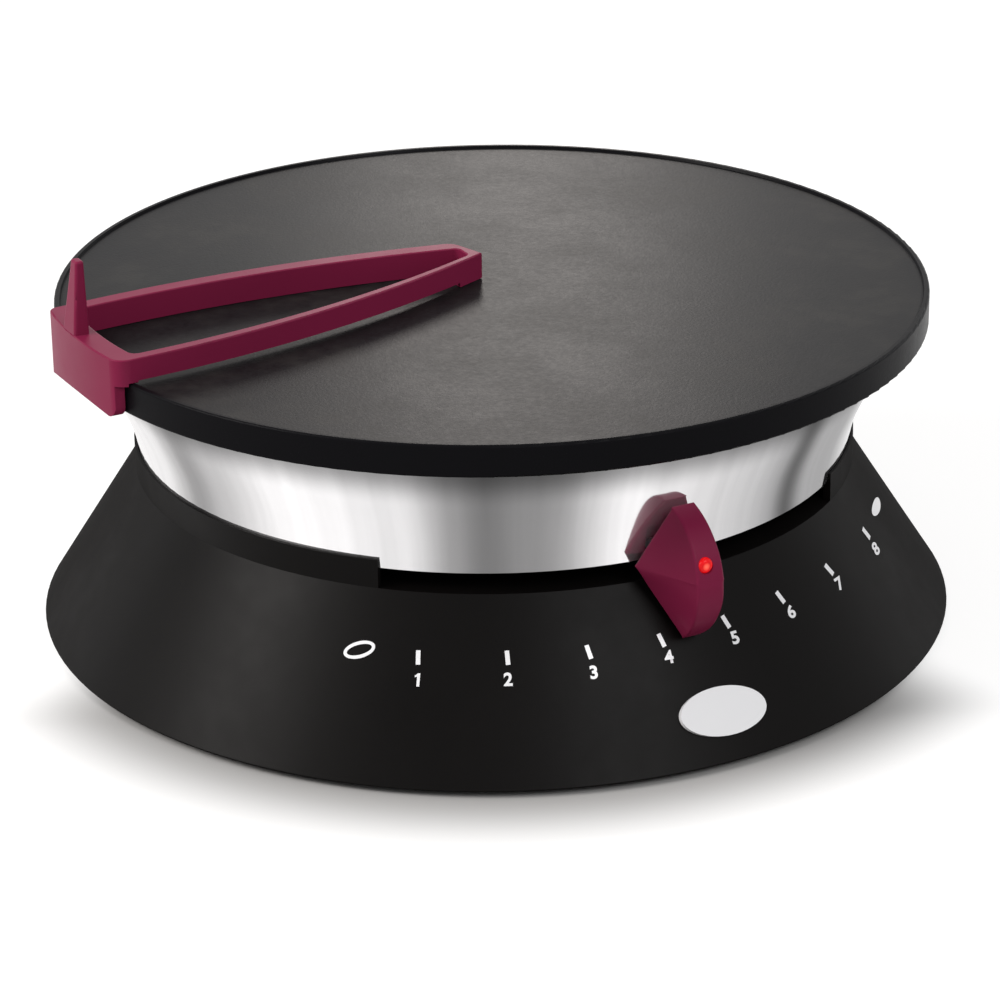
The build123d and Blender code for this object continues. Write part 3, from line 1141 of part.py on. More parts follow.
# ================================================================== one file for each piece
PIECES = {
    "base_cone": base_cone,
    "bottom_cover": bottom_cover,
    "rubber_feet": rubber_feet,
    "cover_screws": cover_screws,
    "cord_gland": cord_gland,
    "gland_nut": gland_nut,
    "badge_plate": badge_plate,
    "chassis_plate": chassis_plate,
    "chassis_screws": chassis_screws,
    "wire_grommet": wire_grommet,
    "steel_band": steel_band,
    "griddle_plate": griddle_plate,
    "heating_element": heating_element,
    "element_pins": element_pins,
    "element_bushes": element_bushes,
    "element_clamps": element_clamps,
    "clamp_screws": clamp_screws,
    "heat_reflector": heat_reflector,
    "insulation_pad": insulation_pad,
    "plate_spacers": plate_spacers,
    "tie_studs": tie_studs,
    "upper_sleeves": upper_sleeves,
    "lower_sleeves": lower_sleeves,
    "stud_washers": stud_washers,
    "stud_nuts": stud_nuts,
    "thermostat_body": thermostat_body,
    "thermostat_screws": thermostat_screws,
    "sensor_bulb": sensor_bulb,
    "bulb_clip": bulb_clip,
    "capillary_tube": capillary_tube,
    "terminal_block": terminal_block,
    "terminal_screws": terminal_screws,
    "earth_screw": earth_screw,
    "wire_live": wire_live,
    "wire_neutral": wire_neutral,
    "wire_earth": wire_earth,
    "wire_link": wire_link,
    "heater_lead_a": heater_lead_a,
    "heater_lead_b": heater_lead_b,
    "thermostat_spindle": thermostat_spindle,
    "lever_arm": lever_arm,
    "hub_screw": hub_screw,
    "knob_shell": knob_shell,
    "knob_back": knob_back,
    "knob_screws": knob_screws,
    "led_lens": led_lens,
    "led_lamp": led_lamp,
    "led_leads": led_leads,
    "spreader_frame": spreader_frame,
}

os.makedirs("parts", exist_ok=True)
for name, piece in PIECES.items():
    piece.part.label = name
    export_step(piece.part, f"parts/{name}.step")
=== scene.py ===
"""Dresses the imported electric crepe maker: finishes, printed dial, stage, lamps and camera.

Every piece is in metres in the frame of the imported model. An azimuth is an angle about +Z
counted from the front (-Y), positive towards +X, in degrees.
"""
import json
import logging
import math
from dataclasses import dataclass, field
from enum import Enum

import bpy
import numpy as np
from mathutils import Matrix, Vector


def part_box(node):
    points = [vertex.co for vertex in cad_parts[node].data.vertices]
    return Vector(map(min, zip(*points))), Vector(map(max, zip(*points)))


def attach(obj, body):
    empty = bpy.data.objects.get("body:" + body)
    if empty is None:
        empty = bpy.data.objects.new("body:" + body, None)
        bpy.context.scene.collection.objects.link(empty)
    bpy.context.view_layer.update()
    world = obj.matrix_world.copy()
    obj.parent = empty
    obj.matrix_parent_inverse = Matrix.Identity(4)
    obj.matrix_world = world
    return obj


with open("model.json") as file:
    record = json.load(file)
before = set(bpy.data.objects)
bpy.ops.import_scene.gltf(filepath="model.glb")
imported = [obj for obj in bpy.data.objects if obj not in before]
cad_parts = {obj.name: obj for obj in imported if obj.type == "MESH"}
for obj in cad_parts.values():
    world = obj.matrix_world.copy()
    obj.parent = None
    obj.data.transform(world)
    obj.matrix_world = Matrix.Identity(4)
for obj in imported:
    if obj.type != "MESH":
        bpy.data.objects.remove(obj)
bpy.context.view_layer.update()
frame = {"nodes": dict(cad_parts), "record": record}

log = logging.getLogger("crepe_maker")

MM = 0.001
WHITE = (1.0, 1.0, 1.0, 1.0)
NOISE_RANGE = (0.3, 0.7)  # most values of a noise texture lie between these
Colour = tuple[float, float, float]
Span = tuple[float, float]
Grid = np.ndarray
Socket = bpy.types.NodeSocket
Value = Socket | float | tuple[float, ...]


# ---------------------------------------------------------------------------- the cone's surface
@dataclass(frozen=True)
class Cone:
    """The moulded cone's outer surface, which carries the dial and the badge.

    Attributes:
        low_radius: Radius at the lower edge.
        high_radius: Radius at the waist.
        low: Height of the lower edge.
        high: Height of the waist.
    """

    low_radius: float = 186.2 * MM
    high_radius: float = 146.0 * MM
    low: float = 2.5 * MM
    high: float = 65.5 * MM

    @property
    def slope(self) -> float:
        """Angle between the surface and the upright, in radians."""
        return math.atan2(self.low_radius - self.high_radius, self.high - self.low)

    def radius(self, height: Grid) -> Grid:
        """Radius at a height: a straight line between the two edges."""
        share = (height - self.low) / (self.high - self.low)
        return self.low_radius + share * (self.high_radius - self.low_radius)

    def wrap(self, across: Grid, along: Grid, azimuth: float, height: float, lift: float) -> Grid:
        """Lays flat points on the cone.

        A point's distance across becomes an arc about +Z, its distance along becomes a run up the
        slope, and the whole is lifted off the surface along the outward normal.

        Args:
            across: Distances to the right of the mark's centre, in metres.
            along: Distances up the slope from the mark's centre, in metres.
            azimuth: Azimuth of the mark's centre.
            height: Height of the mark's centre.
            lift: Distance above the surface.

        Returns:
            Points of shape (..., 3).
        """
        rise = height + along * math.cos(self.slope)
        radius = self.radius(rise)
        turn = math.radians(azimuth) + across / self.radius(np.asarray(height))
        out = radius + lift * math.cos(self.slope)
        return np.stack(
            [out * np.sin(turn), -out * np.cos(turn), rise + lift * math.sin(self.slope)], axis=-1
        )


CONE = Cone()


# ---------------------------------------------------------------------------- meshes from arrays
def grid_faces(rows: int, columns: int, closed: bool = False) -> Grid:
    """Quads between neighbouring points of a grid.

    Args:
        rows: Number of rows.
        columns: Number of points in a row.
        closed: Whether each row's last point joins its first.

    Returns:
        Corner indices of shape (faces, 4).
    """
    index = np.arange(rows * columns).reshape(rows, columns)
    if closed:
        index = np.concatenate([index, index[:, :1]], axis=1)
    corners = [index[:-1, :-1], index[:-1, 1:], index[1:, 1:], index[1:, :-1]]
    return np.stack([corner.ravel() for corner in corners], axis=-1)


def show(name: str, content: bpy.types.ID) -> bpy.types.Object:
    """Puts a mesh, a text, a lamp or a camera in the scene.

    Args:
        name: Name of the object.
        content: What it holds.

    Returns:
        The new object, at the origin.
    """
    piece = bpy.data.objects.new(name, content)
    bpy.context.scene.collection.objects.link(piece)
    return piece


def mesh_piece(name: str, points: Grid, faces: Grid, smooth: bool = True) -> bpy.types.Object:
    """Makes a piece from arrays of points and faces.

    Args:
        name: Name of the piece.
        points: Points of shape (n, 3), in metres.
        faces: Corner indices, one row for each face.
        smooth: Whether the faces shade smoothly.

    Returns:
        The new object, at the origin.
    """
    mesh = bpy.data.meshes.new(name)
    mesh.from_pydata(points.reshape(-1, 3).tolist(), [], faces.tolist())
    if smooth:
        mesh.shade_smooth()
    mesh.update()
    return show(name, mesh)


def finish_piece(piece: bpy.types.Object, body: str, material: bpy.types.Material) -> None:
    """Gives a new piece its material and the body that it rides on.

    Args:
        piece: The piece.
        body: Name of the body.
        material: The slot's material.
    """
    piece.data.materials.clear()
    piece.data.materials.append(material)
    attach(piece, body)
    log.info("%s: %d faces on %s", piece.name, len(piece.data.polygons), body)


# ---------------------------------------------------------------------------- shader building
class Blend(Enum):
    """Kinds of Mix node: its data type, the places of its two inputs, and that of its output."""

    COLOUR = ("RGBA", 6, 7, 2)
    NORMAL = ("VECTOR", 4, 5, 1)


class Tree:
    """A node tree with short ways to add nodes and links."""

    def __init__(self, tree: bpy.types.NodeTree) -> None:
        """Starts from an empty tree."""
        self.tree = tree
        tree.nodes.clear()

    def add(self, kind: str, **settings: object) -> bpy.types.Node:
        """Adds a node.

        Args:
            kind: Name of the node's type.
            **settings: Its plain properties by name.

        Returns:
            The node.
        """
        node = self.tree.nodes.new(kind)
        for key, value in settings.items():
            setattr(node, key, value)
        return node

    def put(self, value: Value, target: Socket) -> None:
        """Links an output to an input, or sets the input to a plain value.

        Args:
            value: The output or the plain value.
            target: The input.
        """
        if isinstance(value, Socket):
            self.tree.links.new(value, target)
        else:
            target.default_value = value

    def feed(self, node: bpy.types.Node, **inputs: Value) -> bpy.types.Node:
        """Gives a node its inputs.

        Args:
            node: The node.
            **inputs: Values by the input's name, with _ for a space.

        Returns:
            The same node.
        """
        for key, value in inputs.items():
            self.put(value, node.inputs[key.replace("_", " ")])
        return node

    def maths(self, operation: str, first: Value, second: Value = 0.0) -> Socket:
        """Works out one operation on numbers.

        Args:
            operation: Name of the operation.
            first: First number.
            second: Second number, where the operation has one.

        Returns:
            The result.
        """
        node = self.add("ShaderNodeMath", operation=operation)
        self.put(first, node.inputs[0])
        self.put(second, node.inputs[1])
        return node.outputs[0]

    def vectors(self, operation: str, first: Socket, second: Value | None = None) -> Socket:
        """Works out one operation on vectors.

        Args:
            operation: Name of the operation.
            first: First vector.
            second: Second vector, or the number that SCALE multiplies by.

        Returns:
            The result: a number from LENGTH, DISTANCE and DOT_PRODUCT, else a vector.
        """
        node = self.add("ShaderNodeVectorMath", operation=operation)
        self.put(first, node.inputs[0])
        if second is not None:
            self.put(second, node.inputs["Scale" if operation == "SCALE" else 1])
        return node.outputs["Value" if operation in ("LENGTH", "DISTANCE", "DOT_PRODUCT") else "Vector"]

    def span(self, value: Socket, source: Span, target: Span = (0.0, 1.0), smooth: bool = False) -> Socket:
        """Carries a value from one range to another and holds it at the ends.

        Args:
            value: The value.
            source: The values that become the target's first and second.
            target: The range that it is carried to.
            smooth: Whether it eases in and out.

        Returns:
            The new value.
        """
        node = self.add("ShaderNodeMapRange", interpolation_type="SMOOTHSTEP" if smooth else "LINEAR")
        self.feed(node, Value=value, From_Min=source[0], From_Max=source[1])
        return self.feed(node, To_Min=target[0], To_Max=target[1]).outputs["Result"]

    def noise(self, vector: Socket, scale: Value, detail: float) -> Socket:
        """Reads a noise texture.

        Args:
            vector: The place that it is read at.
            scale: Its waves for each unit of the place.
            detail: How many finer noises are added to it.

        Returns:
            The noise.
        """
        node = self.add("ShaderNodeTexNoise")
        return self.feed(node, Vector=vector, Scale=scale, Detail=detail).outputs["Fac"]

    def mix(self, share: Socket, first: Value, second: Value, kind: Blend = Blend.COLOUR) -> Socket:
        """Mixes two colours or two normals.

        Args:
            share: Share of the second.
            first: The first, as an output or a colour.
            second: The second, likewise.
            kind: Whether they are colours or normals.

        Returns:
            The mixture.
        """
        data_type, *places, result = kind.value
        node = self.add("ShaderNodeMix", data_type=data_type)
        self.put(share, node.inputs[0])
        for value, place in zip((first, second), places):
            self.put(value if isinstance(value, Socket) else (*value, 1.0), node.inputs[place])
        return node.outputs[result]

    def mix_shaders(self, share: Socket, first: Socket, second: Socket) -> Socket:
        """Mixes two shaders.

        Args:
            share: Share of the second.
            first: First shader.
            second: Second shader.

        Returns:
            The mixed shader.
        """
        node = self.add("ShaderNodeMixShader")
        for value, target in zip((share, first, second), node.inputs):
            self.put(value, target)
        return node.outputs[0]

    def place(self) -> Socket:
        """Place on the piece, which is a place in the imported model's frame."""
        return self.add("ShaderNodeTexCoord").outputs["Object"]

    def parts(self, place: Socket) -> tuple[Socket, ...]:
        """X, Y and Z of a place."""
        return tuple(self.feed(self.add("ShaderNodeSeparateXYZ"), Vector=place).outputs)

    def join(self, **parts: Value) -> Socket:
        """Vector of the X, Y and Z that are given, and 0 for the others."""
        return self.feed(self.add("ShaderNodeCombineXYZ"), **parts).outputs[0]

    def radius(self, place: Socket) -> Socket:
        """Distance of a place from the upright axis."""
        return self.vectors("LENGTH", self.vectors("MULTIPLY", place, (1.0, 1.0, 0.0)))

    def turn(self, place: Socket) -> Socket:
        """Azimuth of a place in radians."""
        x, y, _ = self.parts(place)
        return self.maths("ARCTAN2", x, self.maths("MULTIPLY", y, -1.0))

    def bump(self, height: Socket, depth: float, under: Socket | None = None) -> Socket:
        """Turns a height into a normal.

        Args:
            height: The height, in units of the depth.
            depth: What one such unit is, in metres.
            under: Normal of the surface under it, where that isn't the piece's own.

        Returns:
            The normal.
        """
        node = self.feed(self.add("ShaderNodeBump"), Height=height, Distance=depth, Strength=1.0)
        if under:
            self.put(under, node.inputs["Normal"])
        return node.outputs["Normal"]


class Effect(Enum):
    """Surface effects that several finishes share."""

    GRAIN = "moulded_grain"
    BRUSHING = "brushed_rings"
    SMUDGE = "soft_smudges"
    BRAID = "braid"


def new_group(
    effect: Effect, inputs: dict[str, float], outputs: tuple[str, ...]
) -> tuple[Tree, bpy.types.bpy_prop_collection, bpy.types.Node]:
    """Starts a node group of plain values.

    Args:
        effect: The effect that it makes.
        inputs: Input names with their defaults.
        outputs: Output names.

    Returns:
        The tree, what the group is given, and its output node.
    """
    group = bpy.data.node_groups.new(effect.value, "ShaderNodeTree")
    tree = Tree(group)
    for key, value in inputs.items():
        socket = group.interface.new_socket(key, in_out="INPUT", socket_type="NodeSocketFloat")
        socket.default_value = value
    for key in outputs:
        group.interface.new_socket(key, in_out="OUTPUT", socket_type="NodeSocketFloat")
    return tree, tree.add("NodeGroupInput").outputs, tree.add("NodeGroupOutput")


def build_grain() -> None:
    """Moulded grain: a fine noise for the height, and a broad one that shades the surface."""
    scales = {"Grain Scale": 2500.0, "Broad Scale": 14.0}
    tree, given, result = new_group(Effect.GRAIN, scales, ("Grain", "Broad"))
    place = tree.place()
    grain = tree.noise(place, given["Grain Scale"], detail=2.0)
    broad = tree.noise(place, given["Broad Scale"], detail=4.0)
    tree.feed(result, Grain=grain, Broad=tree.span(broad, NOISE_RANGE))


def build_brushing() -> None:
    """Brushing round the axis: noises over the angle about +Z, in radians, and the height.

    The height counts the radius too, so that flat and flared sheets are brushed like upright ones.
    Lines are fine and long, bands are broad rings, and strips run up the sheet.
    """
    radius_factor = 1.7
    scales = {"Line Scale": 4000.0, "Length": 6.0}
    tree, given, result = new_group(Effect.BRUSHING, scales, ("Lines", "Bands", "Strips"))
    place = tree.place()
    x, y, z = tree.parts(place)
    turn = tree.maths("ARCTAN2", y, x)
    height = tree.maths("ADD", z, tree.maths("MULTIPLY", tree.radius(place), radius_factor))
    for output, around, up, detail in (
        ("Lines", given["Length"], given["Line Scale"], 3.0),
        ("Bands", 5.0, 30.0, 2.0),
        ("Strips", 17.0, 3.0, 4.0),
    ):
        spot = tree.join(X=tree.maths("MULTIPLY", turn, around), Y=tree.maths("MULTIPLY", height, up))
        tree.put(tree.noise(spot, 1.0, detail), result.inputs[output])


def build_smudge() -> None:
    """Soft smudges: noises of two sizes multiplied, so that patches come and go, and fine specks."""
    small_factor, speck_factor, small_lift = 5.0, 90.0, 0.5
    patch_range, speck_range = (0.35, 0.7), (0.55, 0.8)
    tree, given, result = new_group(Effect.SMUDGE, {"Scale": 18.0}, ("Patches", "Specks"))
    place, scale = tree.place(), given["Scale"]
    large = tree.noise(place, scale, detail=5.0)
    small = tree.noise(place, tree.maths("MULTIPLY", scale, small_factor), detail=4.0)
    both = tree.maths("MULTIPLY", large, tree.maths("ADD", small, small_lift))
    specks = tree.noise(place, tree.maths("MULTIPLY", scale, speck_factor), detail=1.0)
    tree.feed(result, Patches=tree.span(both, patch_range), Specks=tree.span(specks, speck_range))


def build_braid() -> None:
    """Braid or fibres: the sines of (x + y + z) and (x + y - z) multiplied, over a noise."""
    tree, given, result = new_group(Effect.BRAID, {"Scale": 900.0}, ("Threads",))
    place, scale = tree.place(), given["Scale"]
    x, y, z = tree.parts(place)
    flat = tree.maths("ADD", x, y)
    first = tree.maths("SINE", tree.maths("MULTIPLY", tree.maths("ADD", flat, z), scale))
    second = tree.maths("SINE", tree.maths("MULTIPLY", tree.maths("SUBTRACT", flat, z), scale))
    wave = tree.maths("MULTIPLY", first, second)
    tree.feed(result, Threads=tree.maths("ADD", wave, tree.noise(place, scale, detail=3.0)))


# ---------------------------------------------------------------------------- finishes
@dataclass(frozen=True)
class Finish:
    """What every finish has.

    Attributes:
        slot: Its slot in the record.
        colour: Its colour.
        roughness: Its roughness.
    """

    slot: str
    colour: Colour
    roughness: float = 0.5

    def start(self) -> tuple[bpy.types.Material, Tree, bpy.types.Node]:
        """Makes the material with its Principled shader, plain values set on the sockets.

        Returns:
            The material, its tree and the shader.
        """
        material = bpy.data.materials.new(f"finish_{self.slot}")
        material.use_nodes = True
        tree = Tree(material.node_tree)
        output = tree.add("ShaderNodeOutputMaterial")
        shader = tree.add("ShaderNodeBsdfPrincipled")
        tree.put(shader.outputs[0], output.inputs[0])
        tree.feed(shader, Base_Color=(*self.colour, 1.0), Roughness=self.roughness)
        return material, tree, shader

    def effect(self, tree: Tree, kind: Effect, **inputs: float) -> bpy.types.bpy_prop_collection:
        """Places a shared effect in this material.

        Args:
            tree: The material's tree.
            kind: The effect.
            **inputs: Its values by the input's name, with _ for a space.

        Returns:
            The effect's outputs.
        """
        node = tree.add("ShaderNodeGroup", node_tree=bpy.data.node_groups[kind.value])
        return tree.feed(node, **inputs).outputs

    def shades(self, low: float, high: float) -> tuple[Colour, Colour]:
        """Shades of the finish's colour.

        Args:
            low: Share of the colour that the darker one has.
            high: Share that the lighter one has.

        Returns:
            The darker and the lighter shade.
        """
        darker = tuple(channel * low for channel in self.colour)
        lighter = tuple(min(channel * high, 1.0) for channel in self.colour)
        return darker, lighter

    def rough_span(self, tree: Tree, value: Socket, source: Span, shares: Span) -> Socket:
        """Roughness that follows a value.

        Args:
            tree: The material's tree.
            value: The value.
            source: The value's range.
            shares: Shares of the finish's roughness at the range's ends.

        Returns:
            The roughness.
        """
        return tree.span(value, source, (self.roughness * shares[0], self.roughness * shares[1]))


@dataclass(frozen=True)
class Moulded(Finish):
    """Moulded plastic or rubber with a fine grain and a broad, faint change of tone.

    Attributes:
        grain_scale: Grains for each metre, about.
        grain_depth: Depth of the grain.
        smudge_scale: Smudges for each metre, about.
        smudge_gloss: Share of the roughness that is left in a smudge.
        tone: Share by which broad patches are lighter or darker.
        specular: Specular level.
        coat: Weight of a clear coat.
        coat_roughness: Roughness of that coat.
        edge_matt: Roughness that the grain adds where the surface is seen edge on.
        edge_range: Facing values at which that begins and is full.
    """

    grain_scale: float = 2500.0
    grain_depth: float = 0.02 * MM
    smudge_scale: float = 25.0
    smudge_gloss: float = 0.86
    tone: float = 0.12
    specular: float = 0.5
    coat: float = 0.0
    coat_roughness: float = 0.12
    edge_matt: float = 0.0
    edge_range: Span = (0.45, 0.95)

    def make(self) -> bpy.types.Material:
        """Builds the material.

        Returns:
            The material.
        """
        material, tree, shader = self.start()
        grain = self.effect(tree, Effect.GRAIN, Grain_Scale=self.grain_scale)
        smudge = self.effect(tree, Effect.SMUDGE, Scale=self.smudge_scale)
        dark, light = self.shades(1 - self.tone, 1 + self.tone)
        roughness = self.rough_span(tree, smudge["Patches"], (0.0, 1.0), (1.0, self.smudge_gloss))
        if self.edge_matt:
            edge = tree.span(tree.add("ShaderNodeLayerWeight").outputs["Facing"], self.edge_range)
            roughness = tree.maths("ADD", roughness, tree.maths("MULTIPLY", edge, self.edge_matt))
        tree.feed(shader, Base_Color=tree.mix(grain["Broad"], dark, light), Roughness=roughness)
        tree.feed(shader, Normal=tree.bump(grain["Grain"], self.grain_depth))
        tree.feed(shader, Specular_IOR_Level=self.specular)
        tree.feed(shader, Coat_Weight=self.coat, Coat_Roughness=self.coat_roughness)
        return material


@dataclass(frozen=True)
class Streak:
    """A broad upright streak painted on a brushed band, lighter or darker than the rest: light ones are
    painted reflections of lamps, dark ones of dark surroundings.

    Attributes:
        azimuth: Azimuth of its middle.
        spread: Azimuth over which it fades.
        tone: Share by which it lightens the metal, or darkens it where negative.
    """

    azimuth: float
    spread: float
    tone: float


@dataclass(frozen=True)
class Metal(Finish):
    """Bare metal, brushed round the axis, which can carry painted reflections as upright streaks and painted
    shade under the plate.

    Attributes:
        line_depth: Depth of the brushed lines.
        line_scale: Lines for each metre, about.
        line_gloss: Shares of the roughness where the lines' noise is low and where it is high.
        tone: Share by which broad rings are lighter or darker.
        anisotropy: Stretch of the highlights across the lines.
        scatter: Share of the light that the brushed skin scatters instead of mirroring it.
        strips: Share by which fine upright strips are lighter or darker.
        streaks: Upright streaks painted into the colour as reflections: light ones of lamps, dark ones of
            dark surroundings.
        flare: Lean of the outer faces at the band's lower and upper edge, in degrees.
        outer: How squarely a face looks outwards where it begins to count as outer, and where it does.
        heat: Share by which the sheet is painted darker right under the plate, as shade from the plate's rim
            and the dark it reflects there.
        heat_range: Heights at which that painted shade begins and is full.
    """

    line_depth: float = 0.006 * MM
    line_scale: float = 4000.0
    line_gloss: Span = (0.85, 1.15)
    tone: float = 0.06
    anisotropy: float = 0.0
    scatter: float = 0.0
    strips: float = 0.0
    streaks: tuple[Streak, ...] = ()
    flare: Span | None = None
    outer: Span = (0.5, 0.6)
    heat: float = 0.0
    heat_range: Span = (103.0 * MM, 120.0 * MM)

    def even_normal(self, tree: Tree) -> Socket:
        """Normal of the outer side, whose flare turns evenly from the band's lower edge to its upper one.

        It is the outward direction times cos(flare), less +Z times sin(flare); other faces keep their own.

        Args:
            tree: The material's tree.

        Returns:
            The normal.
        """
        low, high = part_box("steel_band")
        x, y, z = tree.parts(tree.place())
        leans = (math.radians(self.flare[0]), math.radians(self.flare[1]))
        flare = tree.span(z, (low[2], high[2]), leans)
        out = tree.vectors("NORMALIZE", tree.join(X=x, Y=y))
        level = tree.vectors("SCALE", out, tree.maths("COSINE", flare))
        drop = tree.join(Z=tree.maths("MULTIPLY", tree.maths("SINE", flare), -1.0))
        own = tree.add("ShaderNodeNewGeometry").outputs["Normal"]
        facing = tree.span(tree.vectors("DOT_PRODUCT", own, out), self.outer)
        return tree.mix(facing, own, tree.vectors("ADD", level, drop), Blend.NORMAL)

    def streak_share(self, tree: Tree) -> Socket:
        """Sum of the painted reflection streaks: each is its tone times exp((cos(angle to it) - 1) / spread
        squared).

        Args:
            tree: The material's tree.

        Returns:
            Share by which the colour is multiplied.
        """
        turn = tree.turn(tree.place())
        total = 1.0
        for streak in self.streaks:
            away = tree.maths("COSINE", tree.maths("SUBTRACT", turn, math.radians(streak.azimuth)))
            fall = tree.maths("DIVIDE", tree.maths("SUBTRACT", away, 1.0), math.radians(streak.spread) ** 2)
            bulge = tree.maths("MULTIPLY", tree.maths("EXPONENT", fall), streak.tone)
            total = tree.maths("ADD", total, bulge)
        return total

    def sheet_shares(self, tree: Tree, strips: Socket) -> list[Socket]:
        """Shares by which strips, painted reflections and painted shade under the plate change the colour.

        Args:
            tree: The material's tree.
            strips: The brushing's fine strips.

        Returns:
            One share for each of the three that the finish has.
        """
        shares = []
        if self.strips:
            shares.append(tree.span(strips, NOISE_RANGE, (1.0 - self.strips, 1.0 + self.strips)))
        # Painted reflections: upright streaks of light and dark round the band.
        if self.streaks:
            shares.append(self.streak_share(tree))
        # Painted shade: the sheet darkens towards the plate above it.
        if self.heat:
            height = tree.parts(tree.place())[2]
            shares.append(tree.span(height, self.heat_range, (1.0, 1.0 - self.heat), smooth=True))
        return shares

    def make(self) -> bpy.types.Material:
        """Builds the material.

        Returns:
            The material.
        """
        material, tree, shader = self.start()
        brushing = self.effect(tree, Effect.BRUSHING, Line_Scale=self.line_scale)
        dark, light = self.shades(1 - self.tone, 1 + self.tone)
        sheet = tree.mix(brushing["Bands"], dark, light)
        for share in self.sheet_shares(tree, brushing["Strips"]):
            sheet = tree.vectors("SCALE", sheet, share)
        roughness = self.rough_span(tree, brushing["Lines"], NOISE_RANGE, self.line_gloss)
        under = self.even_normal(tree) if self.flare else None
        tree.feed(shader, Base_Color=sheet, Roughness=roughness)
        tree.feed(shader, Normal=tree.bump(brushing["Lines"], self.line_depth, under))
        tree.feed(shader, Metallic=1.0 - self.scatter, Anisotropic=self.anisotropy)
        if self.anisotropy:
            tangent = tree.add("ShaderNodeTangent", direction_type="RADIAL", axis="Z")
            tree.feed(shader, Tangent=tangent.outputs[0])
        return material


@dataclass(frozen=True)
class NonStick(Finish):
    """Non-stick coat on cast aluminium: fine sprayed grain, pale specks, patches from use, a black rim whose
    black reaches into the groove inside the lip as painted shade.

    Attributes:
        patch: Colour of the patches and specks.
        patch_share: Most that a patch shows.
        speck_share: Most that a speck shows.
        rim: Colour of the rim, and of the groove inside the lip, where it is painted shade.
        rim_range: Radii between which the griddle's face ends and the black begins, a little inside the lip
            so that its groove takes painted shade.
        grain_scale: Grains for each metre, about.
        grain_depth: Depth of the sprayed grain.
        mottle_scale: Mottles for each metre, about.
        mottle: Shares of the colour in a dark and in a light mottle.
        smudge_scale: Patches for each metre, about.
        gloss: Shares of the roughness in the glossiest and in the dullest place.
        specular: Specular level.
    """

    patch: Colour = (0.026, 0.0245, 0.0235)
    patch_share: float = 0.6
    speck_share: float = 0.3
    rim: Colour = (0.0044, 0.0042, 0.0052)
    rim_range: Span = (171.5 * MM, 171.7 * MM)
    grain_scale: float = 1000.0
    grain_depth: float = 0.038 * MM
    mottle_scale: float = 460.0
    mottle: Span = (0.75, 1.3)
    smudge_scale: float = 24.0
    gloss: Span = (0.88, 1.13)
    specular: float = 0.035

    def make(self) -> bpy.types.Material:
        """Builds the material.

        Returns:
            The material.
        """
        material, tree, shader = self.start()
        scales = {"Grain_Scale": self.grain_scale, "Broad_Scale": self.mottle_scale}
        grain = self.effect(tree, Effect.GRAIN, **scales)
        smudge = self.effect(tree, Effect.SMUDGE, Scale=self.smudge_scale)
        patches = smudge["Patches"]
        worn = tree.mix(patches, self.colour, self.patch)
        face = tree.mix(grain["Broad"], *self.shades(*self.mottle))
        face = tree.mix(tree.maths("MULTIPLY", smudge["Specks"], self.speck_share), face, self.patch)
        face = tree.mix(tree.maths("MULTIPLY", patches, self.patch_share), face, worn)
        # Black from just inside the lip outwards: the rim's own colour, and painted shade in the groove.
        outside = tree.span(tree.radius(tree.place()), self.rim_range)
        cast = tree.maths("ADD", grain["Broad"], patches)  # from 0 to 2, as each is from 0 to 1
        tree.feed(shader, Base_Color=tree.mix(outside, face, self.rim))
        tree.feed(shader, Roughness=self.rough_span(tree, cast, (0.0, 2.0), self.gloss))
        tree.feed(shader, Normal=tree.bump(grain["Grain"], self.grain_depth))
        tree.feed(shader, Specular_IOR_Level=self.specular)
        return material


@dataclass(frozen=True)
class Fibrous(Finish):
    """Braided sleeve or pressed fibre.

    Attributes:
        thread_scale: Turn of the thread waves over a metre, in radians.
        depth: Depth between threads.
        tone: Shares of the colour between the threads and on them.
    """

    thread_scale: float = 2500.0
    depth: float = 0.1 * MM
    tone: Span = (0.6, 1.15)

    def make(self) -> bpy.types.Material:
        """Builds the material.

        Returns:
            The material.
        """
        material, tree, shader = self.start()
        threads = self.effect(tree, Effect.BRAID, Scale=self.thread_scale)["Threads"]
        tree.feed(shader, Base_Color=tree.mix(threads, *self.shades(*self.tone)))
        tree.feed(shader, Normal=tree.bump(threads, self.depth))
        return material


@dataclass(frozen=True)
class Glow(Finish):
    """Red lens or lamp that glows, hottest about a point in the lens's front.

    Attributes:
        core: Colour of the light at the point.
        forward: How far the point is in front of the lens's middle, as a share of its diagonal.
        reach: Distance from the point at which the finish's own colour takes over.
        core_share: Share of that distance within which the core's colour is full.
        strength: Strength of the light.
        mottle_scale: Mottles for each metre, about.
        mottle: Shares of the colour in a dark and in a light mottle.
        specular: Specular level.
    """

    core: Colour = (1.0, 0.16, 0.1)
    forward: float = 1 / 3
    reach: float = 1.7 * MM
    core_share: float = 0.3
    strength: float = 0.9
    mottle_scale: float = 420.0
    mottle: Span = (0.8, 1.1)
    specular: float = 0.15

    def make(self) -> bpy.types.Material:
        """Builds the material.

        Returns:
            The material.
        """
        material, tree, shader = self.start()
        low, high = (Vector(corner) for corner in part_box("led_lens"))
        middle = (low + high) / 2
        out = Vector((middle.x, middle.y, 0.0)).normalized()
        point = middle + out * (high - low).length * self.forward
        away = tree.vectors("DISTANCE", tree.place(), tuple(point))
        hot = tree.span(away, (self.reach, self.core_share * self.reach))
        broad = self.effect(tree, Effect.GRAIN, Broad_Scale=self.mottle_scale)["Broad"]
        lens = tree.mix(broad, *self.shades(*self.mottle))
        tree.feed(shader, Base_Color=lens, Emission_Color=tree.mix(hot, lens, self.core))
        tree.feed(shader, Emission_Strength=self.strength, Specular_IOR_Level=self.specular)
        return material
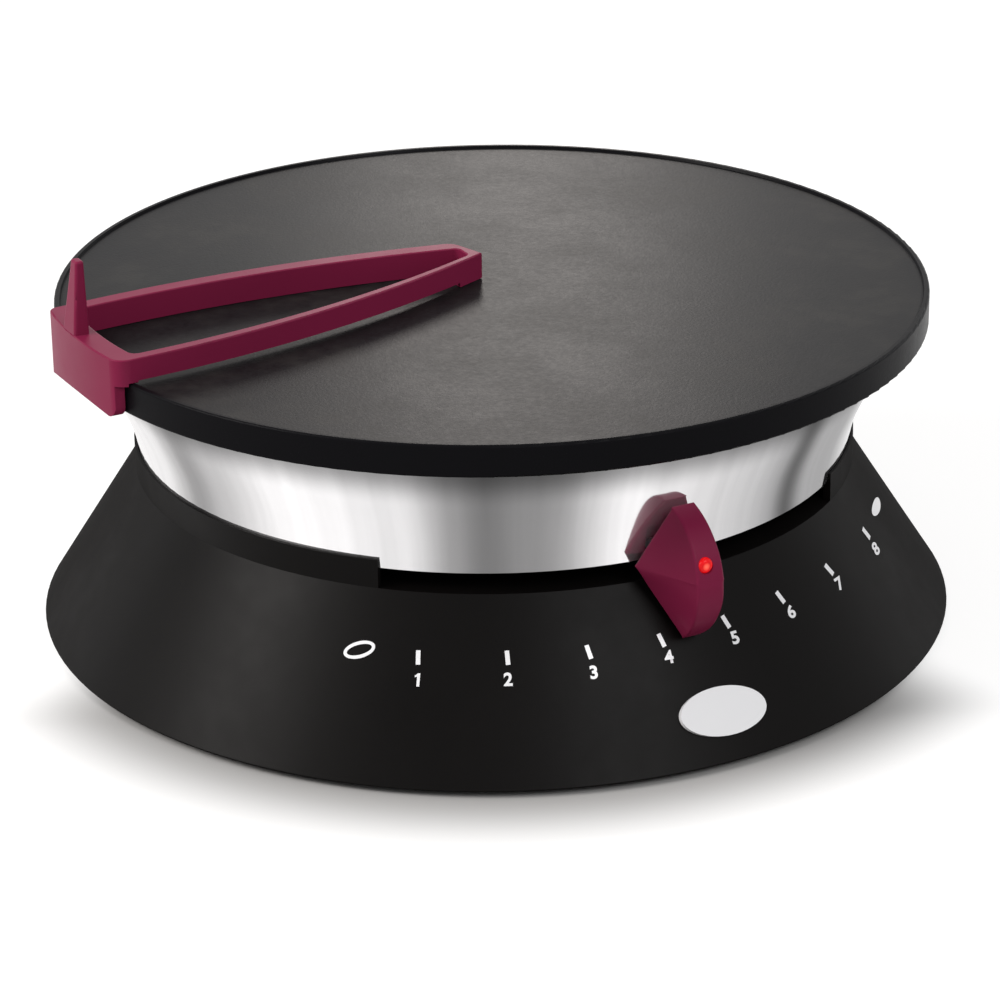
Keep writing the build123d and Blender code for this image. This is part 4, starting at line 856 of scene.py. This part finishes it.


# Painted reflections on the steel band: light streaks for lamps, dark ones for dark surroundings, all round
# the band.
BAND_PAINTED_REFLECTIONS: tuple[Streak, ...] = (
    Streak(-62, 5, 0.05),
    Streak(-51.5, 4.2, -0.62),
    Streak(-42.5, 4, -0.25),
    Streak(-29, 6, 0.22),
    Streak(-8, 2, -0.18),
    Streak(-2, 4.6, -0.7),
    Streak(8, 4.5, -0.56),
    Streak(20, 2.8, 0.22),
    Streak(37, 6, -0.12),
    Streak(43.5, 3.5, -0.2),
    Streak(50.5, 3.0, -0.68),
    Streak(62.5, 7, -0.6),
    Streak(80, 6, 0.1),
    Streak(100, 7, -0.45),
    Streak(118, 9, 0.15),
    Streak(150, 10, -0.5),
    Streak(176, 8, 0.15),
    Streak(202, 7, -0.5),
    Streak(228, 9, 0.12),
    Streak(262, 8, -0.45),
)

FINISHES: tuple[Finish, ...] = (
    Moulded(
        "shell_grey", (0.0022, 0.0017, 0.0016), 0.42,
        grain_scale=2600.0, grain_depth=0.03 * MM, tone=0.1, specular=0.075, edge_matt=0.55,
    ),
    Moulded("cover_plastic", (0.012, 0.012, 0.012), 0.55, grain_depth=0.03 * MM, specular=0.25),
    Moulded("foot_rubber", (0.015, 0.015, 0.015), 0.8, grain_depth=0.04 * MM, specular=0.2),
    Moulded("black_nylon", (0.012, 0.012, 0.012), 0.45, specular=0.25),
    Moulded("badge_white", (0.86, 0.86, 0.88), 0.25, grain_depth=0.004 * MM, tone=0.02, coat=0.5),
    Moulded("ceramic", (0.78, 0.75, 0.68), 0.6, tone=0.06),
    Moulded("wire_brown", (0.16, 0.07, 0.035), 0.55),
    Moulded("wire_blue", (0.03, 0.1, 0.42), 0.55),
    Moulded("wire_green", (0.09, 0.33, 0.06), 0.55),
    Moulded("raspberry", (0.2, 0.014, 0.052), 0.42, grain_depth=0.012 * MM, tone=0.05, specular=0.08),
    Metal("zinc_steel", (0.6, 0.6, 0.58), 0.32),
    # The band's colour carries painted reflections and painted shade under the plate.
    Metal(
        "satin_steel", (0.735, 0.73, 0.74), 0.07,
        anisotropy=0.3, scatter=0.1, line_depth=0.001 * MM, tone=0.03, strips=0.07, streaks=BAND_PAINTED_REFLECTIONS,
        flare=(6.0, 11.5), heat=0.65,
    ),
    Metal("heater_sheath", (0.2, 0.19, 0.18), 0.5, line_scale=1500.0),
    Metal("bright_sheet", (0.8, 0.8, 0.8), 0.3),
    Metal("copper_tube", (0.72, 0.38, 0.22), 0.3),
    NonStick("nonstick_grey", (0.0104, 0.0102, 0.0112), 0.33),
    Fibrous("mineral_wool", (0.45, 0.41, 0.33), 0.95, thread_scale=700.0, depth=0.6 * MM),
    Fibrous("wire_white", (0.7, 0.7, 0.66), 0.8),
    Glow("lens_red", (0.5, 0.004, 0.006), 0.25),
    Glow("lamp_clear", (0.8, 0.05, 0.03), 0.3, strength=2.0),
)


@dataclass
class Wardrobe:
    """All the finishes, made once.

    Attributes:
        materials: Each finish's material by its slot.
    """

    materials: dict[str, bpy.types.Material] = field(default_factory=dict)

    def fill(self) -> None:
        """Builds the shared effects and every finish."""
        build_grain()
        build_brushing()
        build_smudge()
        build_braid()
        self.materials = {finish.slot: finish.make() for finish in FINISHES}

    def dress_nodes(self) -> None:
        """Gives each carried-over solid the finish of its record slot."""
        for entry in frame["record"]["subparts"]:
            solid = frame["nodes"][entry["node"]]
            solid.data.materials.clear()
            solid.data.materials.append(self.materials[entry["material_slot"]])
            log.info("%s: %s", entry["node"], entry["material_slot"])


# ---------------------------------------------------------------------------- printed dial
@dataclass(frozen=True)
class Mark:
    """Where a mark is printed.

    Attributes:
        azimuth: Azimuth of its centre.
        height: Height of its centre, in millimetres.
        lean: Turn of the mark on the cone, in degrees: its foot goes to the right.
    """

    azimuth: float
    height: float
    lean: float = 0.0


@dataclass(frozen=True)
class Oval:
    """An oval line on the cone.

    Attributes:
        name: Name of the piece.
        mark: Where it is.
        half: Half-width and half-height.
        stroke: Width of the line, from the outer edge inwards. A filled oval's stops just short of
            its middle, so that no faces fall together.
        tilt: Turn of the oval before it is widened, in degrees.
    """

    name: str
    mark: Mark
    half: Span
    stroke: float
    tilt: float


def turned(across: Grid, along: Grid, angle: float) -> tuple[Grid, Grid]:
    """Turns flat points about their origin, from the right towards up.

    Args:
        across: Distances to the right.
        along: Distances up.
        angle: The angle, in degrees.

    Returns:
        The new distances to the right and up.
    """
    cosine, sine = math.cos(math.radians(angle)), math.sin(math.radians(angle))
    return across * cosine - along * sine, across * sine + along * cosine


@dataclass
class Dial:
    """Marks printed round the cone: a ring, numbered ticks and a dot.

    Attributes:
        wardrobe: The finishes.
        lift: How far the print stands off the cone.
        tick_size: Width of a tick, and its length up the slope.
        tick_grid: Points along a tick and across it.
        digit_size: Height of a number.
        type_scale: Size of the typeface for a number of height 1.
        type_weight: Share of a number's height by which its strokes grow.
        type_steps: Steps in each curve of the typeface.
        oval_grid: Points from the inner edge of an oval to its outer one, and round it.
        ovals: The ring and the dot.
        ticks: Where the ticks are, from 1 upwards.
        numbers: Where the numbers are.
    """

    wardrobe: Wardrobe
    lift: float = 0.06 * MM
    tick_size: Span = (1.7 * MM, 5.4 * MM)
    tick_grid: tuple[int, int] = (6, 3)
    digit_size: float = 5.0 * MM
    type_scale: float = 1.35
    type_weight: float = 0.045
    type_steps: int = 6
    oval_grid: tuple[int, int] = (4, 64)
    ovals: tuple[Oval, ...] = (
        Oval("dial_ring", Mark(-18.9, 45.3), (6.2 * MM, 3.2 * MM), 1.3 * MM, 22.0),
        Oval("dial_dot", Mark(79.3, 48.7), (4.2 * MM, 2.3 * MM), 2.2977 * MM, -12.0),
    )
    ticks: tuple[Mark, ...] = (
        Mark(-10.6, 44.7, 4.0), Mark(1.5, 45.2, 4.0), Mark(12.6, 45.3, 12.0), Mark(23.1, 45.5, 14.0),
        Mark(33.5, 46.3, 16.0), Mark(44.0, 47.6, 19.0), Mark(55.8, 47.8, 22.0), Mark(69.9, 47.9, 14.0),
    )
    numbers: tuple[Mark, ...] = (
        Mark(-10.4, 37.6), Mark(1.5, 38.1), Mark(12.9, 38.5), Mark(23.6, 39.6),
        Mark(34.1, 40.4), Mark(44.8, 41.7), Mark(56.4, 41.9), Mark(70.0, 41.5),
    )

    def patch(self, across: Grid, along: Grid, mark: Mark) -> Grid:
        """Lays flat points on the cone about a mark's centre, wider where the cone turns away.

        The width grows by 1 / sqrt(cos(azimuth)), and then the mark's lean turns the points.

        Args:
            across: Distances to the right of the mark's centre.
            along: Distances up the slope from it.
            mark: Where the mark is.

        Returns:
            Points of shape (..., 3).
        """
        wide = across / math.sqrt(math.cos(math.radians(mark.azimuth)))
        return CONE.wrap(*turned(wide, along, mark.lean), mark.azimuth, mark.height * MM, self.lift)

    def tick_mesh(self) -> bpy.types.Object:
        """All ticks as one piece: each is a flat grid of points, laid on the cone.

        Returns:
            The ticks.
        """
        rows, columns = self.tick_grid
        width, length = self.tick_size
        across, along = np.meshgrid(
            np.linspace(-0.5, 0.5, columns) * width, np.linspace(-0.5, 0.5, rows) * length
        )
        points = np.concatenate([self.patch(across, along, mark).reshape(-1, 3) for mark in self.ticks])
        face = grid_faces(rows, columns)
        faces = np.concatenate([face + index * across.size for index in range(len(self.ticks))])
        return mesh_piece("dial_ticks", points, faces)

    def oval_mesh(self, oval: Oval) -> bpy.types.Object:
        """An oval line: rows of the ellipse (a cos t, b sin t), from inner half-axes to outer ones.

        Args:
            oval: The oval.

        Returns:
            The oval on the cone.
        """
        rows, columns = self.oval_grid
        turn = np.linspace(0, 2 * np.pi, columns, endpoint=False)
        inwards = np.linspace(oval.stroke, 0.0, rows)[:, None]
        across, along = (oval.half[0] - inwards) * np.cos(turn), (oval.half[1] - inwards) * np.sin(turn)
        points = self.patch(*turned(across, along, oval.tilt), oval.mark)
        return mesh_piece(oval.name, points, grid_faces(rows, columns, closed=True))

    def one_mesh(self) -> bpy.types.Mesh:
        """The number 1: a bar with a flag at its top, as one face with seven corners.

        Returns:
            The flat mesh.
        """
        corners = np.array(
            [(-0.24, 0.18), (-0.24, 0.3), (0.0, 0.5), (0.16, 0.5), (0.16, -0.5), (-0.06, -0.5), (-0.06, 0.24)]
        )
        mesh = bpy.data.meshes.new("number_1")
        points = np.pad(corners[::-1] * self.digit_size, ((0, 0), (0, 1)))
        mesh.from_pydata(points.tolist(), [], [list(range(len(corners)))])
        return mesh

    def text_mesh(self, digit: int) -> bpy.types.Mesh:
        """A number from the built-in typeface, with heavier strokes.

        Args:
            digit: The number.

        Returns:
            The flat mesh.
        """
        text = bpy.data.curves.new(f"number_{digit}", "FONT")
        text.body = str(digit)
        text.size = self.digit_size * self.type_scale
        text.offset = self.digit_size * self.type_weight
        text.align_x, text.align_y = "CENTER", "CENTER"
        text.resolution_u = self.type_steps
        carrier = show(text.name, text)
        flat = bpy.data.meshes.new_from_object(carrier.evaluated_get(bpy.context.evaluated_depsgraph_get()))
        bpy.data.objects.remove(carrier)
        return flat

    def number_mesh(self, digit: int, mark: Mark) -> bpy.types.Object:
        """A plain number laid on the cone: the flat mesh's points become arc and slope.

        Args:
            digit: The number.
            mark: Where it is.

        Returns:
            The number on the cone.
        """
        flat = self.one_mesh() if digit == 1 else self.text_mesh(digit)
        points = np.zeros(len(flat.vertices) * 3)
        flat.vertices.foreach_get("co", points)
        points = points.reshape(-1, 3)
        flat.vertices.foreach_set("co", self.patch(points[:, 0], points[:, 1], mark).ravel())
        flat.update()
        return show(f"dial_number_{digit}", flat)

    def build(self) -> None:
        """Prints every mark and sets it on the base."""
        marks = [self.tick_mesh()] + [self.oval_mesh(oval) for oval in self.ovals]
        marks += [self.number_mesh(index + 1, mark) for index, mark in enumerate(self.numbers)]
        for mark in marks:
            finish_piece(mark, "base", self.wardrobe.materials["badge_white"])


# ---------------------------------------------------------------------------- stage
@dataclass(frozen=True)
class Panel:
    """A soft rectangular lamp that looks at a point.

    Attributes:
        name: Name of the lamp.
        place: Where it is.
        aim: The point that it looks at.
        size: Its width and height.
        power: Its power in watts.
        tint: Colour of its light.
    """

    name: str
    place: tuple[float, float, float]
    aim: tuple[float, float, float]
    size: Span
    power: float
    tint: Colour = (1.0, 1.0, 1.0)

    def build(self) -> None:
        """Puts the lamp in the scene, its -Z axis along the line to its aim."""
        lamp = bpy.data.lights.new(self.name, "AREA")
        lamp.color = self.tint
        lamp.shape = "RECTANGLE"
        lamp.size, lamp.size_y = self.size
        lamp.energy = self.power
        holder = show(self.name, lamp)
        holder.location = self.place
        holder.rotation_mode = "QUATERNION"
        holder.rotation_quaternion = (Vector(self.aim) - Vector(self.place)).to_track_quat("-Z", "Y")


@dataclass
class Stage:
    """Pale floor, white surroundings and soft lamps.

    Attributes:
        floor_half: Half the floor's side, in metres.
        paper: Colour of the floor under the lamps.
        lift: Light that the floor adds away from the object, which makes it white; close to the object it is
            left out, so the floor there stays grey as painted shade over the real shadow.
        lift_range: Radii at which that light begins and is full.
        front: Heights along Y between which the lift moves inwards, so that the painted shade
        stays mostly in front, and beside and behind the object the floor is white right up to it.
        front_shift: How far it moves.
        surround: Strength of the light from all around.
        lamps: The lamps.
    """

    floor_half: float = 6.0
    paper: Colour = (0.372, 0.366, 0.362)
    lift: float = 0.76
    lift_range: Span = (0.18, 0.235)
    front: Span = (-0.12, -0.05)
    front_shift: float = 0.05
    surround: float = 0.45
    lamps: tuple[Panel, ...] = (
        Panel("key_lamp", (-1.75, -0.5, 1.3), (0, 0, 0.1), (1.0, 1.0), 38.0, (1.0, 0.97, 0.94)),
        Panel("fill_lamp", (1.2, -1.6, 1.6), (0, 0, 0.05), (1.0, 1.0), 20.0),
        Panel("back_lamp", (0.02, 2.1, 1.0), (0, 0, 0.12), (0.26, 0.45), 4.2, (1.0, 0.93, 0.88)),
    )

    def seen(self, tree: Tree) -> tuple[Socket, Socket]:
        """Tells rays that show something from rays that light something.

        Args:
            tree: The tree of the floor's material or the world's.

        Returns:
            1 for a ray of the camera, a mirror or a clear piece, and 1 for a ray of the camera alone.
        """
        path = tree.add("ShaderNodeLightPath").outputs
        camera = path["Is Camera Ray"]
        straight = tree.maths("MAXIMUM", camera, path["Is Glossy Ray"])
        return tree.maths("MAXIMUM", straight, path["Is Transmission Ray"]), camera

    def build_world(self) -> None:
        """White for the camera and in reflections, a soft grey light for everything else."""
        world = bpy.data.worlds.new("surround")
        world.use_nodes = True
        bpy.context.scene.world = world
        tree = Tree(world.node_tree)
        output = tree.add("ShaderNodeOutputWorld")
        dim = tree.feed(tree.add("ShaderNodeBackground"), Color=WHITE, Strength=self.surround)
        white = tree.feed(tree.add("ShaderNodeBackground"), Color=WHITE, Strength=1.0)
        tree.put(tree.mix_shaders(self.seen(tree)[0], dim.outputs[0], white.outputs[0]), output.inputs[0])

    def floor_material(self) -> bpy.types.Material:
        """Pale paper, lifted to white away from the object and left grey close to it, most in front, as
        painted shade; clear when seen from below.

        Returns:
            The material.
        """
        material = bpy.data.materials.new("floor_paper")
        material.use_nodes = True
        tree = Tree(material.node_tree)
        output = tree.add("ShaderNodeOutputMaterial")
        seen, camera = self.seen(tree)
        place = tree.place()
        # Painted shade: the lift begins only some way out from the object, further out in front, so the floor
        # near it stays grey over the real shadow.
        shift = tree.span(tree.parts(place)[1], self.front, (0.0, self.front_shift), smooth=True)
        reach = tree.maths("ADD", tree.radius(place), shift)
        added = tree.span(reach, self.lift_range, (0.0, self.lift), smooth=True)
        paper = tree.feed(tree.add("ShaderNodeBsdfDiffuse"), Color=(*self.paper, 1.0))
        light = tree.add("ShaderNodeEmission")
        tree.feed(light, Color=WHITE, Strength=tree.maths("MULTIPLY", seen, added))
        both = tree.add("ShaderNodeAddShader")
        tree.put(paper.outputs[0], both.inputs[0])
        tree.put(light.outputs[0], both.inputs[1])
        backfacing = tree.add("ShaderNodeNewGeometry").outputs["Backfacing"]
        clear = tree.add("ShaderNodeBsdfTransparent").outputs[0]
        below = tree.maths("MULTIPLY", backfacing, camera)
        tree.put(tree.mix_shaders(below, both.outputs[0], clear), output.inputs[0])
        return material

    def build_floor(self) -> None:
        """A wide flat floor of one square, at the height that the object stands on."""
        side = np.array([-1.0, 1.0]) * self.floor_half
        across, along = np.meshgrid(side, side)
        points = np.stack([across, along, np.zeros_like(across)], axis=-1)
        floor = mesh_piece("floor", points, grid_faces(2, 2), smooth=False)
        floor.data.materials.append(self.floor_material())

    def build(self) -> None:
        """Builds the surroundings, floor and lamps."""
        self.build_world()
        self.build_floor()
        for lamp in self.lamps:
            lamp.build()
        bpy.context.scene.view_settings.view_transform = "Standard"


@dataclass(frozen=True)
class Camera:
    """The camera, which stands in front of the object, towards -Y.

    Attributes:
        focal_pixels: Focal length, in pixels of the frame.
        frame_pixels: Width of the frame.
        sensor: Width of the sensor, in millimetres.
        target: The point at the frame's middle.
        distance: Distance from it.
        elevation: Angle above the floor, in degrees.
        roll: Turn about its own view, in degrees.
        clip: Nearest and farthest distance that it sees.
    """

    focal_pixels: float = 3989.57
    frame_pixels: float = 1000.0
    sensor: float = 36.0
    target: tuple[float, float, float] = (2.16 * MM, 0.0, 41.39 * MM)
    distance: float = 1639.3 * MM
    elevation: float = 23.17
    roll: float = -0.783
    clip: Span = (0.05, 50.0)

    def build(self) -> None:
        """Places the camera, raised by its elevation and turned by its roll."""
        lens = bpy.data.cameras.new("camera")
        lens.sensor_width = self.sensor
        lens.lens = self.focal_pixels * self.sensor / self.frame_pixels
        lens.clip_start, lens.clip_end = self.clip
        rise, turn = math.radians(self.elevation), math.radians(self.roll)
        back = Vector((0.0, -math.cos(rise), math.sin(rise)))
        level = Vector((1.0, 0.0, 0.0))
        upright = back.cross(level)
        right = level * math.cos(turn) + upright * math.sin(turn)
        up = upright * math.cos(turn) - level * math.sin(turn)
        pose = Matrix((right, up, back)).transposed().to_4x4()
        pose.translation = Vector(self.target) + back * self.distance
        holder = show("camera", lens)
        holder.matrix_world = pose
        bpy.context.scene.camera = holder


def main() -> None:
    """Builds the camera, the finishes, the pieces and the stage, in that order."""
    logging.basicConfig(level=logging.INFO, format="%(message)s")
    Camera().build()
    wardrobe = Wardrobe()
    wardrobe.fill()
    wardrobe.dress_nodes()
    Dial(wardrobe).build()
    Stage().build()


if __name__ == "__main__":
    main()
